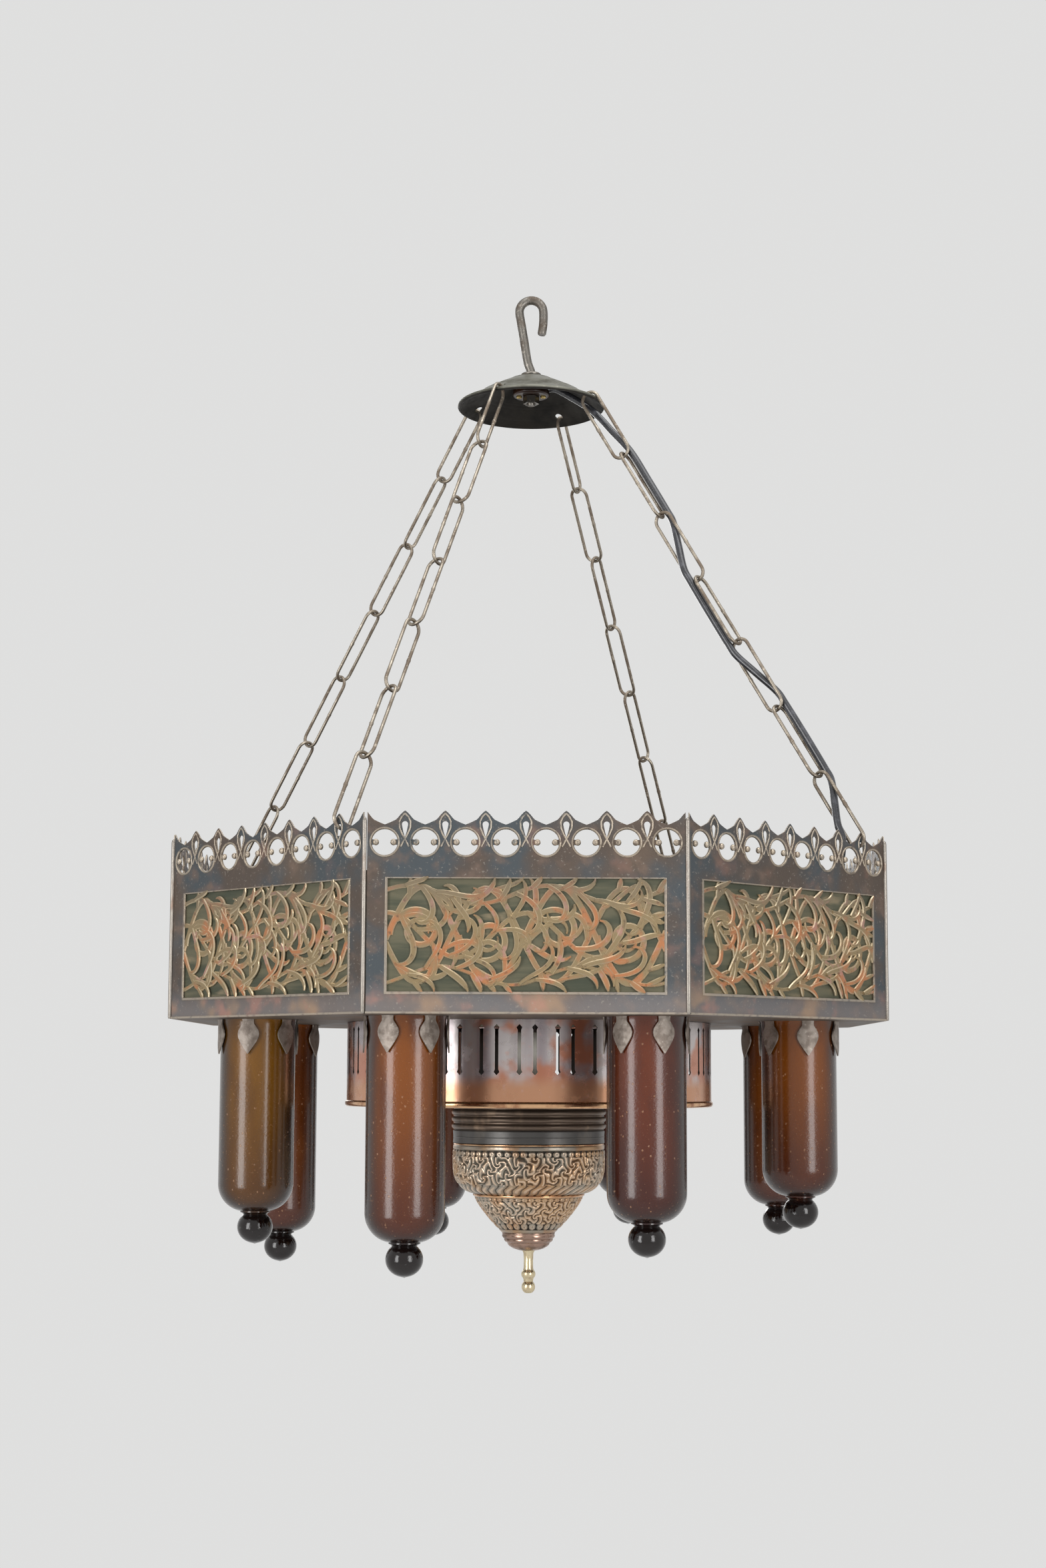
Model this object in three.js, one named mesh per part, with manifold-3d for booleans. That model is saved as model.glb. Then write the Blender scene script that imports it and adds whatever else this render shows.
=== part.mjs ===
// An octagonal hanging lamp of pierced copper sheet: a band with a cut-out crest and scrollwork windows
// hangs on four long-link chains from a small conical canopy and a wire hook. Eight glass oil vessels
// stand in claws round its floor, and a slotted drum with a turned pendant closes it underneath.
// Millimetres, +Z up, the front panel faces -Y. The origin is the inside of the hook's top bend.

import * as THREE from 'three';
import { mergeVertices } from 'three/addons/utils/BufferGeometryUtils.js';
import Module from 'manifold-3d';

// Overall sizes
const HOOK_TO_BAND = 661; // inside of the hook down to the bottom edge of the band
const BAND_FLATS = 600; // across the flats of the octagonal band
const BAND_HEIGHT = 156; // bottom edge to the crest tips
const SHEET = 1.2; // copper sheet
const GAP = 0.3; // clearance between pieces that rest on each other
const SIDES = 8;

// Hook
const HOOK_WIRE = 8;
const HOOK_INNER = 7; // inner radius of the bend
const HOOK_LEAN = 9.4; // degrees that the stem leans away from the axis
const HOOK_BILL = 22; // straight end below the bend
const NUT_FLATS = 13;
const NUT_HEIGHT = 6.5;

// Canopy
const CANOPY_DROP = 65; // inside of the hook down to the canopy's top
const CANOPY_RISE = 32.5;
const CANOPY_RADIUS = 65.5; // to the middle of the rolled rim
const CANOPY_SHEET = 1.3;
const RIM_BEAD = 1.8; // radius of the rolled rim
const CHAIN_TOP_RADIUS = 57; // from the lamp's axis to those holes
const STEM_HOLE = HOOK_WIRE / 2 + GAP + 0.2;
const BLOCK_RADIUS = 17; // terminal block under the canopy
const BLOCK_HEIGHT = 12;

// Chains
const LINKS = 7;
const LINK_WIRE = 3;
const LINK_WIDTH = 19; // outside
const LINK_SECTION = 5; // sides of the wire's section
const BOW_STEPS = 3; // facets round each end of a link, an odd number so that one lies across it
const CHAIN_HOLE = LINK_WIRE / 2 + 2; // radius of each hole in the canopy
const CHAIN_SLOT = LINK_WIRE + 1.4; // width of each slit in a crest

// Band panels: heights from the bottom edge, places along the panel from its middle
const CORNER_BEAD = 1.6; // radius of the rolled seam at each corner
const WINDOW_EDGE = 18.25; // sheet left at each end of the window
const WINDOW_LOW = 17;
const WINDOW_HIGH = BAND_HEIGHT - 52.6;
const CREST_PITCHES = 8; // round holes in a panel's crest
const CREST_HOLE = 10.4;
const CREST_CUSP = 6.6; // radius left between the two cusps of a crest hole
const CREST_CENTRE = BAND_HEIGHT - 24.5;
const CREST_SHOULDER = BAND_HEIGHT - 7; // where a leaf's pointed tip springs from the edge
const CREST_VALLEY = BAND_HEIGHT - 10.8;
const LEAF_HALF = 7; // half the width of a leaf's tip at its shoulders
const LEAF_SLIT = 4.6; // width of the slit in each leaf, at its top
const LEAF_SLIT_LOW = BAND_HEIGHT - 20.5;
const LEAF_SLIT_HIGH = BAND_HEIGHT - 8.5;
const CHAIN_SLOT_LOW = BAND_HEIGHT - 17.5;
const CHAIN_SLOT_HIGH = BAND_HEIGHT - 8.5;
const CHAIN_PITCHES = 3; // crest pitches from a panel's middle to its chain

// Scrollwork in the windows
const STEM_SWING = (WINDOW_HIGH - WINDOW_LOW) / 2 - 6.2; // how far the wavy stem swings up and down
const STEM_WIDTH = 8;
const STEM_STEPS = 12;
const WAVES = 2;
const CURL_INNER = 8;
const CURL_WIDTH = 6;
const CURL_START = 170; // degrees
const CURL_TURN = 300; // degrees
const CURL_STEPS = 6;
const LEAF_WIDTH = 13;
const LEAF_SHARE = 0.4; // of a curl's length

// Lining behind the windows
const LINING_SHEET = 0.8;
const LINING_HEIGHT = WINDOW_HIGH + 6.6;

// Floor plate and its claws
const CLAWS = 6;
const CLAW_LENGTH = 27;
const CLAW_WIDTH = 17;
const CLAW_NECK = 8;

// Glass vessels, listed clockwise seen from above from the one right of the front panel
const GLASS_DROPS = [187.5, 173, 190, 189, 201, 216, 187, 203.5]; // band's bottom edge to the ball's foot
const GLASS_CIRCLE = BAND_FLATS / 2 - 52; // from the lamp's axis to the middle of each glass
const GLASS_RADIUS = 31.5;
const GLASS_HOLE = GLASS_RADIUS + 2.5; // in the floor plate
const GLASS_LIP = GLASS_RADIUS + 6;
const GLASS_LIP_HEIGHT = 12;
const GLASS_WALL = 2.4;
const GLASS_BALL = 14.9;
const GLASS_BALL_HEIGHT = 27; // from its foot to the underside of the tube
const GLASS_NECK = 13; // radius where the ball meets the tube
const GLASS_SEGMENTS = 10;

// Drum
const DRUM_RADIUS = 161;
const DRUM_DEPTH = 70.2; // below the band's bottom edge, to the middle of the rolled lip
const DRUM_LIP = 2.8; // half the height of the rolled lip
const DRUM_FLANGE = 12;
const DRUM_SEGMENTS = 32;
const SLOT_WIDTH = 2.6;
const SLOT_SPACING = 12.8; // between the two slots of a pair
const SLOT_TOP = 5;
const SLOT_BOTTOM = 45;
const FLOOR_OPENING = DRUM_RADIUS - DRUM_FLANGE + 1; // half across the flats of the opening above the drum

// Pendant under the drum
const BOSS_TOP = 75; // top of the first ring; all depths are below the band's bottom edge
const BOSS_RADIUS = 68;
const RING_HEIGHT = 6;
const RINGS = 3;
const FRIEZE_RADIUS = 67; // plain band under the rings
const BOWL_TOP = 105;
const BOWL_LIP = 66;
const BOWL_RADIUS = 67;
const BOWL_BOTTOM = 149;
const SEAM_RADIUS = 48.5;
const CONE_BOTTOM = 182;
const CONE_FOOT = 24;
const FINIAL_BOTTOM = 235;
const PENDANT_WALL = 1.5;
const BOLT_RADIUS = 3;

// Lampholder, bulb and strap
const STRAP_WIDTH = 18;
const STRAP_THICKNESS = 2;
const STRAP_OVERLAP = 14; // rests this far on the floor plate at each end
const BULB_CAP = 12.9;
const HOLDER_RADIUS = 20;
const HOLDER_HEIGHT = 44;
const HOLDER_BORE = BULB_CAP + 0.5;
const SKIRT_RADIUS = HOLDER_BORE + 1.6;
const SKIRT_DROP = 8;
const BULB_RADIUS = 22.5;
const FLEX = 6.5; // diameter of the cord

const RIGHT = Math.PI / 2;
const OCTANT = (2 * Math.PI) / SIDES;
const TO_CORNER = 1 / Math.cos(OCTANT / 2);
const PANEL_SIDE = BAND_FLATS * Math.tan(OCTANT / 2);
const CREST_PITCH = PANEL_SIDE / CREST_PITCHES;
const WINDOW_WIDTH = PANEL_SIDE - 2 * WINDOW_EDGE;
const CANOPY_APEX = HOOK_TO_BAND - CANOPY_DROP;
const BAND_INSIDE = BAND_FLATS / 2 - SHEET - GAP;
const UP = new THREE.Vector3(0, 0, 1);

const wasm = await Module();
wasm.setup();

const COLOURS = {
  iron: [0x6b645c, 0.55, 0.85],
  zinc: [0x77756a, 0.6, 0.7],
  patina: [0x6f6a66, 0.5, 0.8],
  green: [0x3c4434, 0.8, 0.3],
  copper: [0xa86f55, 0.3, 0.95],
  gilt: [0xa67c48, 0.35, 0.9],
  brass: [0xc9b27a, 0.3, 0.95],
  dark: [0x3a332d, 0.6, 0.8],
  amber: [0x7a3a12, 0.08, 0.0],
  flex: [0x2e2e30, 0.35, 0.0],
  bakelite: [0x2a1c14, 0.35, 0.0],
  bulb: [0xf3efe4, 0.15, 0.0],
};

const lamp = new THREE.Group();

function add(name, geometry, finish, parent = lamp) {
  const [color, roughness, metalness] = COLOURS[finish];
  const mesh = new THREE.Mesh(geometry, new THREE.MeshStandardMaterial({ color, roughness, metalness }));
  mesh.name = name;
  parent.add(mesh);
  return mesh;
}

// Horizontal unit vector at a compass angle: 0 is the front (-Y) and a quarter turn is +X.
function outward(angle) {
  return new THREE.Vector3(Math.sin(angle), -Math.cos(angle), 0);
}

function toSolid(geometry) {
  const bare = geometry.clone();
  bare.deleteAttribute('normal');
  bare.deleteAttribute('uv');
  const merged = mergeVertices(bare, 1e-4);
  return new wasm.Manifold(
    new wasm.Mesh({
      numProp: 3,
      vertProperties: Float32Array.from(merged.attributes.position.array),
      triVerts: Uint32Array.from(merged.index.array),
    }),
  );
}

function toGeometry(solid) {
  const mesh = solid.getMesh();
  const geometry = new THREE.BufferGeometry();
  geometry.setAttribute('position', new THREE.BufferAttribute(mesh.vertProperties, mesh.numProp));
  geometry.setIndex(new THREE.BufferAttribute(mesh.triVerts, 1));
  geometry.computeVertexNormals();
  return geometry;
}

function join(first, ...others) {
  return others.reduce((sum, geometry) => sum.add(toSolid(geometry)), toSolid(first));
}

// A polygon with its corners on a circle; turn shifts the first corner.
function ringPoints(radius, corners, x = 0, y = 0, turn = 0) {
  return Array.from({ length: corners }, (_, i) => {
    const angle = turn + (2 * Math.PI * i) / corners;
    return new THREE.Vector2(x + radius * Math.cos(angle), y + radius * Math.sin(angle));
  });
}

function tube(points, radius, sides, steps) {
  const extrudePath = new THREE.CatmullRomCurve3(points, false, 'centripetal');
  return new THREE.ExtrudeGeometry(new THREE.Shape(ringPoints(radius, sides)), { steps, extrudePath });
}

// A body of revolution about Z from [radius, height] pairs, listed anticlockwise with radius to the right.
function turned(profile, segments, start = 0) {
  const points = profile.map(([radius, height]) => new THREE.Vector2(radius, height));
  const geometry = new THREE.LatheGeometry(points, segments, start);
  return geometry.rotateX(RIGHT);
}

// Turns a drawing (x along a panel, y up) so that it stands upright and faces out at a compass angle.
function stand(object, angle, distance) {
  const across = outward(angle + RIGHT);
  const out = outward(angle);
  object.quaternion.setFromRotationMatrix(new THREE.Matrix4().makeBasis(across, UP, out));
  object.position.copy(out).multiplyScalar(distance);
  return object;
}

// Hook: one round wire, bent over the top and down to an open bill, its stem upright where it is held.
const bendRadius = HOOK_INNER + HOOK_WIRE / 2;
const bendHeight = HOOK_TO_BAND - HOOK_INNER;
const blockTop = CANOPY_APEX - 10.6;
const nutTop = blockTop - BLOCK_HEIGHT - GAP;

function hookPoints() {
  const lean = THREE.MathUtils.degToRad(HOOK_LEAN);
  const points = [];
  const stemFoot = nutTop - NUT_HEIGHT - 2;
  points.push([0, stemFoot], [0, (stemFoot + CANOPY_APEX) / 2], [0, CANOPY_APEX]);
  const leaveX = -bendRadius * Math.cos(lean);
  const leaveZ = bendHeight - bendRadius * Math.sin(lean);
  const kinkZ = CANOPY_APEX + 9;
  for (const share of [0, 0.45, 0.85]) {
    const z = kinkZ + share * (leaveZ - kinkZ);
    points.push([leaveX + (leaveZ - z) * Math.tan(lean), z]);
  }
  for (let turn = Math.PI + lean; turn > -0.01; turn -= Math.PI / 8) {
    points.push([bendRadius * Math.cos(turn), bendHeight + bendRadius * Math.sin(turn)]);
  }
  points.push([bendRadius, bendHeight - 0.5 * HOOK_BILL], [bendRadius - 1.5, bendHeight - HOOK_BILL]);
  return points.map(([x, z]) => new THREE.Vector3(x, 0, z));
}

add('hook', tube(hookPoints(), HOOK_WIRE / 2, 6, 26), 'iron');

const nutOutline = new THREE.Shape(ringPoints(NUT_FLATS / Math.sqrt(3), 6));
nutOutline.holes.push(new THREE.Path(ringPoints(HOOK_WIRE / 2 + GAP + 0.1, 8)));
const nutGeometry = new THREE.ExtrudeGeometry(nutOutline, { depth: NUT_HEIGHT, bevelEnabled: false });
add('hook_nut', nutGeometry, 'iron').position.z = nutTop - NUT_HEIGHT;

// Canopy: a spun cone, rounded at the top and flared a little at its rolled rim.
const chainAngle = Math.atan2(CHAIN_PITCHES * CREST_PITCH, BAND_FLATS / 2);
const chainAngles = [0, 1, 2, 3].map((quarter) => OCTANT + chainAngle + (quarter - 1) * RIGHT);

function canopyHeight(radius) {
  const share = radius / CANOPY_RADIUS;
  return CANOPY_APEX - CANOPY_RISE * (share - 0.09 * Math.sin(Math.PI * share));
}

function canopyGeometry() {
  const radii = [STEM_HOLE, 14, 34, CANOPY_RADIUS - RIM_BEAD];
  const top = radii.map((radius) => [radius, canopyHeight(radius)]).reverse();
  const under = radii.map((radius) => [radius, canopyHeight(radius) - CANOPY_SHEET]);
  const rimHeight = CANOPY_APEX - CANOPY_RISE;
  const bead = ringPoints(RIM_BEAD, 5, CANOPY_RADIUS, rimHeight, -RIGHT * 1.4).slice(0, 4);
  const rim = bead.map(({ x, y }) => [x, y]);
  let canopy = toSolid(turned([...under, ...rim, ...top, under[0]], 16));
  for (const angle of chainAngles) {
    const hole = new THREE.CylinderGeometry(CHAIN_HOLE, CHAIN_HOLE, 24, 6).rotateX(RIGHT);
    const place = outward(angle).multiplyScalar(CHAIN_TOP_RADIUS - 1.3);
    hole.translate(place.x, place.y, canopyHeight(CHAIN_TOP_RADIUS));
    canopy = canopy.subtract(toSolid(hole));
  }
  return toGeometry(canopy);
}

add('canopy', canopyGeometry(), 'zinc');

const blockHole = HOOK_WIRE / 2 + 0.8;
add('terminal_block', turned([
  [blockHole, blockTop - BLOCK_HEIGHT], [BLOCK_RADIUS - 1.5, blockTop - BLOCK_HEIGHT],
  [BLOCK_RADIUS, blockTop - BLOCK_HEIGHT + 1.5], [BLOCK_RADIUS, blockTop - 1], [BLOCK_RADIUS - 1, blockTop],
  [blockHole, blockTop], [blockHole, blockTop - BLOCK_HEIGHT],
], 12, Math.PI / 12), 'bakelite');

// Chains: each link is a flat ring of round wire with long straight sides, threaded through its neighbours.
const linkReach = (LINK_WIDTH - LINK_WIRE) / 2; // from a link's middle to the wire's centre line
const bowFlat = Math.cos(Math.PI / BOW_STEPS / 2); // brings the facet across each end out to the true bow

function linkGeometry(length) {
  const rings = [];
  for (const end of [1, -1]) {
    for (let i = 0; i <= BOW_STEPS; i++) {
      const turn = (end > 0 ? 0 : Math.PI) + (Math.PI * i) / BOW_STEPS;
      const out = new THREE.Vector3(Math.cos(turn), Math.sin(turn), 0);
      const centre = out.clone().multiplyScalar(linkReach);
      centre.y = centre.y / bowFlat + end * (length / 2 - linkReach);
      const mitre = i === 0 || i === BOW_STEPS ? 1 : bowFlat;
      rings.push({ centre, out: out.divideScalar(mitre) });
    }
  }
  const positions = [];
  const index = [];
  rings.forEach(({ out, centre }, ring) => {
    const next = (ring + 1) % rings.length;
    for (let side = 0; side < LINK_SECTION; side++) {
      const angle = Math.PI + (2 * Math.PI * side) / LINK_SECTION;
      const point = centre.clone().addScaledVector(out, (Math.cos(angle) * LINK_WIRE) / 2);
      positions.push(point.x, point.y, (Math.sin(angle) * LINK_WIRE) / 2);
      const beside = (side + 1) % LINK_SECTION;
      const [a, b] = [ring * LINK_SECTION + side, ring * LINK_SECTION + beside];
      const [c, d] = [next * LINK_SECTION + side, next * LINK_SECTION + beside];
      index.push(a, c, b, b, c, d);
    }
  });
  const geometry = new THREE.BufferGeometry();
  geometry.setAttribute('position', new THREE.Float32BufferAttribute(positions, 3));
  geometry.setIndex(index);
  geometry.computeVertexNormals();
  return geometry;
}

// Where a chain runs: its two ends, its direction down, and the two directions square to it.
function chainLine(angle) {
  const top = outward(angle).multiplyScalar(CHAIN_TOP_RADIUS);
  top.z = canopyHeight(CHAIN_TOP_RADIUS) - CANOPY_SHEET / 2;
  const reach = Math.hypot(BAND_FLATS / 2 - SHEET / 2, CHAIN_PITCHES * CREST_PITCH);
  const bottom = outward(angle).multiplyScalar(reach);
  bottom.z = CHAIN_SLOT_HIGH - GAP - LINK_WIRE / 2 - 0.65;
  const down = bottom.clone().sub(top);
  const length = down.length();
  down.normalize();
  const beside = outward(angle + RIGHT);
  const above = new THREE.Vector3().crossVectors(beside, down).normalize();
  if (above.z < 0) above.negate();
  return { top, bottom, down, beside, above, length };
}

const lap = LINK_WIRE + GAP;

function addChain(name, angle, panelAngle) {
  const { top, down, beside, above, length } = chainLine(angle);
  const linkLength = (length + (LINKS - 1) * lap) / LINKS;
  const geometry = linkGeometry(linkLength);
  // The first link lies in the upright plane and the last one square to its panel.
  const square = outward(panelAngle);
  const lastTurn = Math.atan2(square.dot(beside), square.dot(above));
  const turnStep = (3 * Math.PI + lastTurn) / (LINKS - 1);
  for (let i = 0; i < LINKS; i++) {
    const turn = i * turnStep;
    const wide = above.clone().multiplyScalar(Math.cos(turn)).addScaledVector(beside, Math.sin(turn));
    const flat = new THREE.Vector3().crossVectors(wide, down);
    const link = add(`${name}_link_${i + 1}`, geometry, 'iron');
    link.quaternion.setFromRotationMatrix(new THREE.Matrix4().makeBasis(wide, down, flat));
    link.position.copy(top).addScaledVector(down, linkLength / 2 + i * (linkLength - lap));
  }
}

['chain_front', 'chain_right', 'chain_back', 'chain_left'].forEach((name, i) => {
  addChain(name, chainAngles[i], OCTANT + (i - 1) * RIGHT);
});

// Panels: flat pierced sheet, drawn with x along the panel and y up from the bottom edge.
function crestOutline(takesChain) {
  const half = PANEL_SIDE / 2;
  const leftEdge = -half + CORNER_BEAD + GAP + 0.2;
  const rightEdge = half - 0.4;
  const points = [[leftEdge, 0], [rightEdge, 0], [rightEdge, BAND_HEIGHT - 1]];
  for (let i = CREST_PITCHES; i > 0; i--) {
    const tip = -half + i * CREST_PITCH;
    if (i < CREST_PITCHES) points.push([tip, BAND_HEIGHT]);
    points.push([tip - LEAF_HALF, CREST_SHOULDER], [tip - CREST_PITCH / 2, CREST_VALLEY]);
    points.push([tip - CREST_PITCH + LEAF_HALF, CREST_SHOULDER]);
  }
  points.push([leftEdge, BAND_HEIGHT - 1]);
  const outline = new THREE.Shape(points.map(([x, y]) => new THREE.Vector2(x, y)));
  for (let i = 0; i < CREST_PITCHES; i++) {
    const place = i - CREST_PITCHES / 2;
    outline.holes.push(new THREE.Path(crestHole((place + 0.5) * CREST_PITCH)));
    const slit = takesChain && place === CHAIN_PITCHES ? chainSlot : leafSlit;
    if (i > 0) outline.holes.push(new THREE.Path(slit(place * CREST_PITCH)));
  }
  outline.holes.push(new THREE.Path([
    new THREE.Vector2(-WINDOW_WIDTH / 2, WINDOW_LOW), new THREE.Vector2(WINDOW_WIDTH / 2, WINDOW_LOW),
    new THREE.Vector2(WINDOW_WIDTH / 2, WINDOW_HIGH), new THREE.Vector2(-WINDOW_WIDTH / 2, WINDOW_HIGH),
  ]));
  return outline;
}

// A round hole pinched by two pointed cusps, one at each side.
function crestHole(centre) {
  return ringPoints(1, 8).map((unit, i) => {
    const radius = i % 4 === 0 ? CREST_CUSP : CREST_HOLE;
    return new THREE.Vector2(centre + radius * unit.x, CREST_CENTRE + radius * unit.y);
  });
}

// The narrow slit in a leaf, pointed at its foot.
function leafSlit(x) {
  const half = LEAF_SLIT / 2;
  const corners = [[0, LEAF_SLIT_LOW], [half, LEAF_SLIT_HIGH], [-half, LEAF_SLIT_HIGH]];
  return corners.map(([dx, y]) => new THREE.Vector2(x + dx, y));
}

function chainSlot(x) {
  const half = CHAIN_SLOT / 2;
  const [low, high] = [CHAIN_SLOT_LOW, CHAIN_SLOT_HIGH];
  const corners = [[-half, low], [half, low], [half, high], [-half, high]];
  return corners.map(([dx, y]) => new THREE.Vector2(x + dx, y));
}

// A ribbon along a plane curve; the curve and the width are functions of 0 to 1.
function ribbon(curve, width, steps) {
  const left = [];
  const right = [];
  for (let i = 0; i <= steps; i++) {
    const share = i / steps;
    const here = curve(share);
    const along = curve(Math.min(share + 0.005, 1)).sub(curve(Math.max(share - 0.005, 0))).normalize();
    const aside = new THREE.Vector2(-along.y, along.x).multiplyScalar(width(share) / 2);
    left.push(here.clone().add(aside));
    right.push(here.clone().sub(aside));
  }
  return new THREE.Shape([...right, ...left.reverse()]);
}

const windowMiddle = (WINDOW_LOW + WINDOW_HIGH) / 2;
const halfWave = WINDOW_WIDTH / WAVES / 2;
const curlOuter = halfWave / 2 - 0.5; // a curl starts on the stem

function wavyStem(share) {
  const x = (share - 0.5) * (WINDOW_WIDTH + 6);
  return new THREE.Vector2(x, windowMiddle + STEM_SWING * Math.sin((Math.PI * x) / halfWave));
}

// A curl that leaves the stem and winds in towards the middle of one hollow of the wave.
function curlIn(hollow) {
  const flip = hollow % 2 === 0 ? -1 : 1;
  const middleX = (hollow - WAVES + 0.5) * halfWave + 1;
  const middleY = windowMiddle - flip * 2;
  return (share) => {
    const angle = THREE.MathUtils.degToRad(CURL_START + CURL_TURN * share);
    const radius = curlOuter + (CURL_INNER - curlOuter) * Math.pow(share, 0.45);
    return new THREE.Vector2(middleX + radius * Math.cos(angle), middleY + flip * radius * Math.sin(angle));
  };
}

// A curl keeps its width and then swells into a pointed leaf.
function curlWidth(share) {
  const leaf = Math.max(0, share - 1 + LEAF_SHARE) / LEAF_SHARE;
  return CURL_WIDTH * (1 - leaf) + LEAF_WIDTH * Math.sin(Math.PI * leaf) + 0.8 * leaf;
}

function panelSolid(takesChain) {
  const depth = SHEET;
  const flat = (shape) => new THREE.ExtrudeGeometry(shape, { depth, bevelEnabled: false });
  const pieces = [flat(ribbon(wavyStem, () => STEM_WIDTH, STEM_STEPS))];
  for (let hollow = 0; hollow < 2 * WAVES; hollow++) {
    pieces.push(flat(ribbon(curlIn(hollow), curlWidth, CURL_STEPS)));
  }
  const seam = new THREE.CylinderGeometry(CORNER_BEAD, CORNER_BEAD, CREST_VALLEY, 6);
  seam.translate(PANEL_SIDE / 2, CREST_VALLEY / 2, SHEET);
  return join(flat(crestOutline(takesChain)), ...pieces, seam);
}

const plainPanel = toGeometry(panelSolid(false));
const chainPanel = toGeometry(panelSolid(true));
for (let i = 0; i < SIDES; i++) {
  const panel = add(`panel_${i + 1}`, i % 2 === 1 ? chainPanel : plainPanel, 'patina');
  stand(panel, i * OCTANT, BAND_FLATS / 2 - SHEET);
}

// Lining: an octagonal strip of painted sheet that stands on the floor behind the windows.
const cornerTurn = OCTANT / 2;
const liningFoot = SHEET + GAP;
const liningOut = BAND_INSIDE * TO_CORNER;
const liningIn = (BAND_INSIDE - LINING_SHEET) * TO_CORNER;
add('lining', turned([
  [liningIn, liningFoot], [liningOut, liningFoot], [liningOut, LINING_HEIGHT], [liningIn, LINING_HEIGHT],
  [liningIn, liningFoot],
], SIDES, cornerTurn), 'green');

// Floor plate: round each glass a ring of leaf-shaped claws is cut from the sheet and bent down.
const holeFlat = GLASS_HOLE * Math.cos(Math.PI / 12);

function clawGeometry(angle, distance) {
  const half = CLAW_WIDTH / 2;
  const neck = CLAW_NECK / 2;
  const outline = new THREE.Shape([
    [-neck, SHEET], [-half, -CLAW_LENGTH / 2], [0, -CLAW_LENGTH], [half, -CLAW_LENGTH / 2], [neck, SHEET],
  ].map(([x, y]) => new THREE.Vector2(x, y)));
  const claw = new THREE.ExtrudeGeometry(outline, { depth: SHEET, bevelEnabled: false });
  const turn = stand(new THREE.Object3D(), angle, distance);
  turn.updateMatrix();
  return claw.applyMatrix4(turn.matrix);
}

function floorGeometry() {
  const plate = new THREE.Shape(ringPoints(BAND_INSIDE * TO_CORNER, SIDES, 0, 0, OCTANT / 2));
  plate.holes.push(new THREE.Path(ringPoints(FLOOR_OPENING * TO_CORNER, SIDES, 0, 0, OCTANT / 2)));
  const claws = [];
  for (let i = 0; i < SIDES; i++) {
    const angle = (i + 0.5) * OCTANT;
    const place = outward(angle).multiplyScalar(GLASS_CIRCLE);
    const firstCorner = angle - RIGHT + Math.PI / 12;
    plate.holes.push(new THREE.Path(ringPoints(GLASS_HOLE, 12, place.x, place.y, firstCorner)));
    for (let claw = 0; claw < CLAWS; claw++) {
      const facing = angle + (2 * Math.PI * claw) / CLAWS;
      claws.push(clawGeometry(facing, holeFlat).translate(place.x, place.y, 0));
    }
  }
  const sheet = new THREE.ExtrudeGeometry(plate, { depth: SHEET, bevelEnabled: false });
  return toGeometry(join(sheet, ...claws));
}

add('floor_plate', floorGeometry(), 'dark');

// Glass vessels: a tube with a flared lip that hangs on the floor plate, and a solid ball under it.
function glassGeometry(drop) {
  const ballMiddle = -drop + GLASS_BALL_HEIGHT / 2;
  const foot = -drop + GLASS_BALL_HEIGHT;
  const lip = SHEET + GAP;
  const bottom = foot + GLASS_RADIUS / 2;
  const inner = GLASS_RADIUS - GLASS_WALL;
  return turned([
    [0, -drop], [0.78 * GLASS_BALL, ballMiddle - 0.33 * GLASS_BALL_HEIGHT], [GLASS_BALL, ballMiddle],
    [GLASS_NECK, foot - 2], [0.85 * GLASS_RADIUS, foot + 4], [GLASS_RADIUS, bottom], [GLASS_RADIUS, lip],
    [GLASS_LIP, lip], [GLASS_LIP, lip + GLASS_LIP_HEIGHT],
    [GLASS_LIP - GLASS_WALL, lip + GLASS_LIP_HEIGHT], [inner, lip + 2], [inner, bottom],
    [0.8 * inner, foot + 8.5], [0, foot + 4],
  ], GLASS_SEGMENTS, Math.PI / GLASS_SEGMENTS);
}

GLASS_DROPS.forEach((drop, i) => {
  const angle = (i + 0.5) * OCTANT;
  const glass = add(`glass_${i + 1}`, glassGeometry(drop), 'amber');
  glass.position.copy(outward(angle)).multiplyScalar(GLASS_CIRCLE);
  glass.rotation.z = angle;
});

// Drum: a round pan under the opening, with pairs of slots all round and a rolled lip.
function drumGeometry() {
  const wall = DRUM_RADIUS - SHEET;
  const rim = -GAP;
  const floor = -DRUM_DEPTH;
  const hole = BOLT_RADIUS + GAP + 0.3;
  const half = Math.PI / DRUM_SEGMENTS;
  const lip = DRUM_RADIUS + DRUM_LIP / 2;
  let drum = toSolid(turned([
    [hole, floor], [wall - 1, floor], [DRUM_RADIUS - 1, floor - DRUM_LIP], [lip, floor - DRUM_LIP / 2],
    [lip, floor + DRUM_LIP / 2], [DRUM_RADIUS, floor + DRUM_LIP], [DRUM_RADIUS, rim],
    [wall - DRUM_FLANGE, rim], [wall - DRUM_FLANGE, rim - SHEET], [wall, rim - SHEET],
    [wall, floor + SHEET], [hole, floor + SHEET], [hole, floor],
  ], DRUM_SEGMENTS, half));
  const slotHeight = SLOT_BOTTOM - SLOT_TOP;
  for (let i = 0; i < DRUM_SEGMENTS; i++) {
    const angle = 2 * half * i;
    for (const side of [-1, 1]) {
      const slot = new THREE.BoxGeometry(SLOT_WIDTH, slotHeight, 12);
      slot.translate((side * SLOT_SPACING) / 2, -(SLOT_TOP + SLOT_BOTTOM) / 2, 0);
      const turn = stand(new THREE.Object3D(), angle, DRUM_RADIUS - 2);
      turn.updateMatrix();
      drum = drum.subtract(toSolid(slot.applyMatrix4(turn.matrix)));
    }
  }
  return toGeometry(drum);
}

add('drum', drumGeometry(), 'copper');

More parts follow.
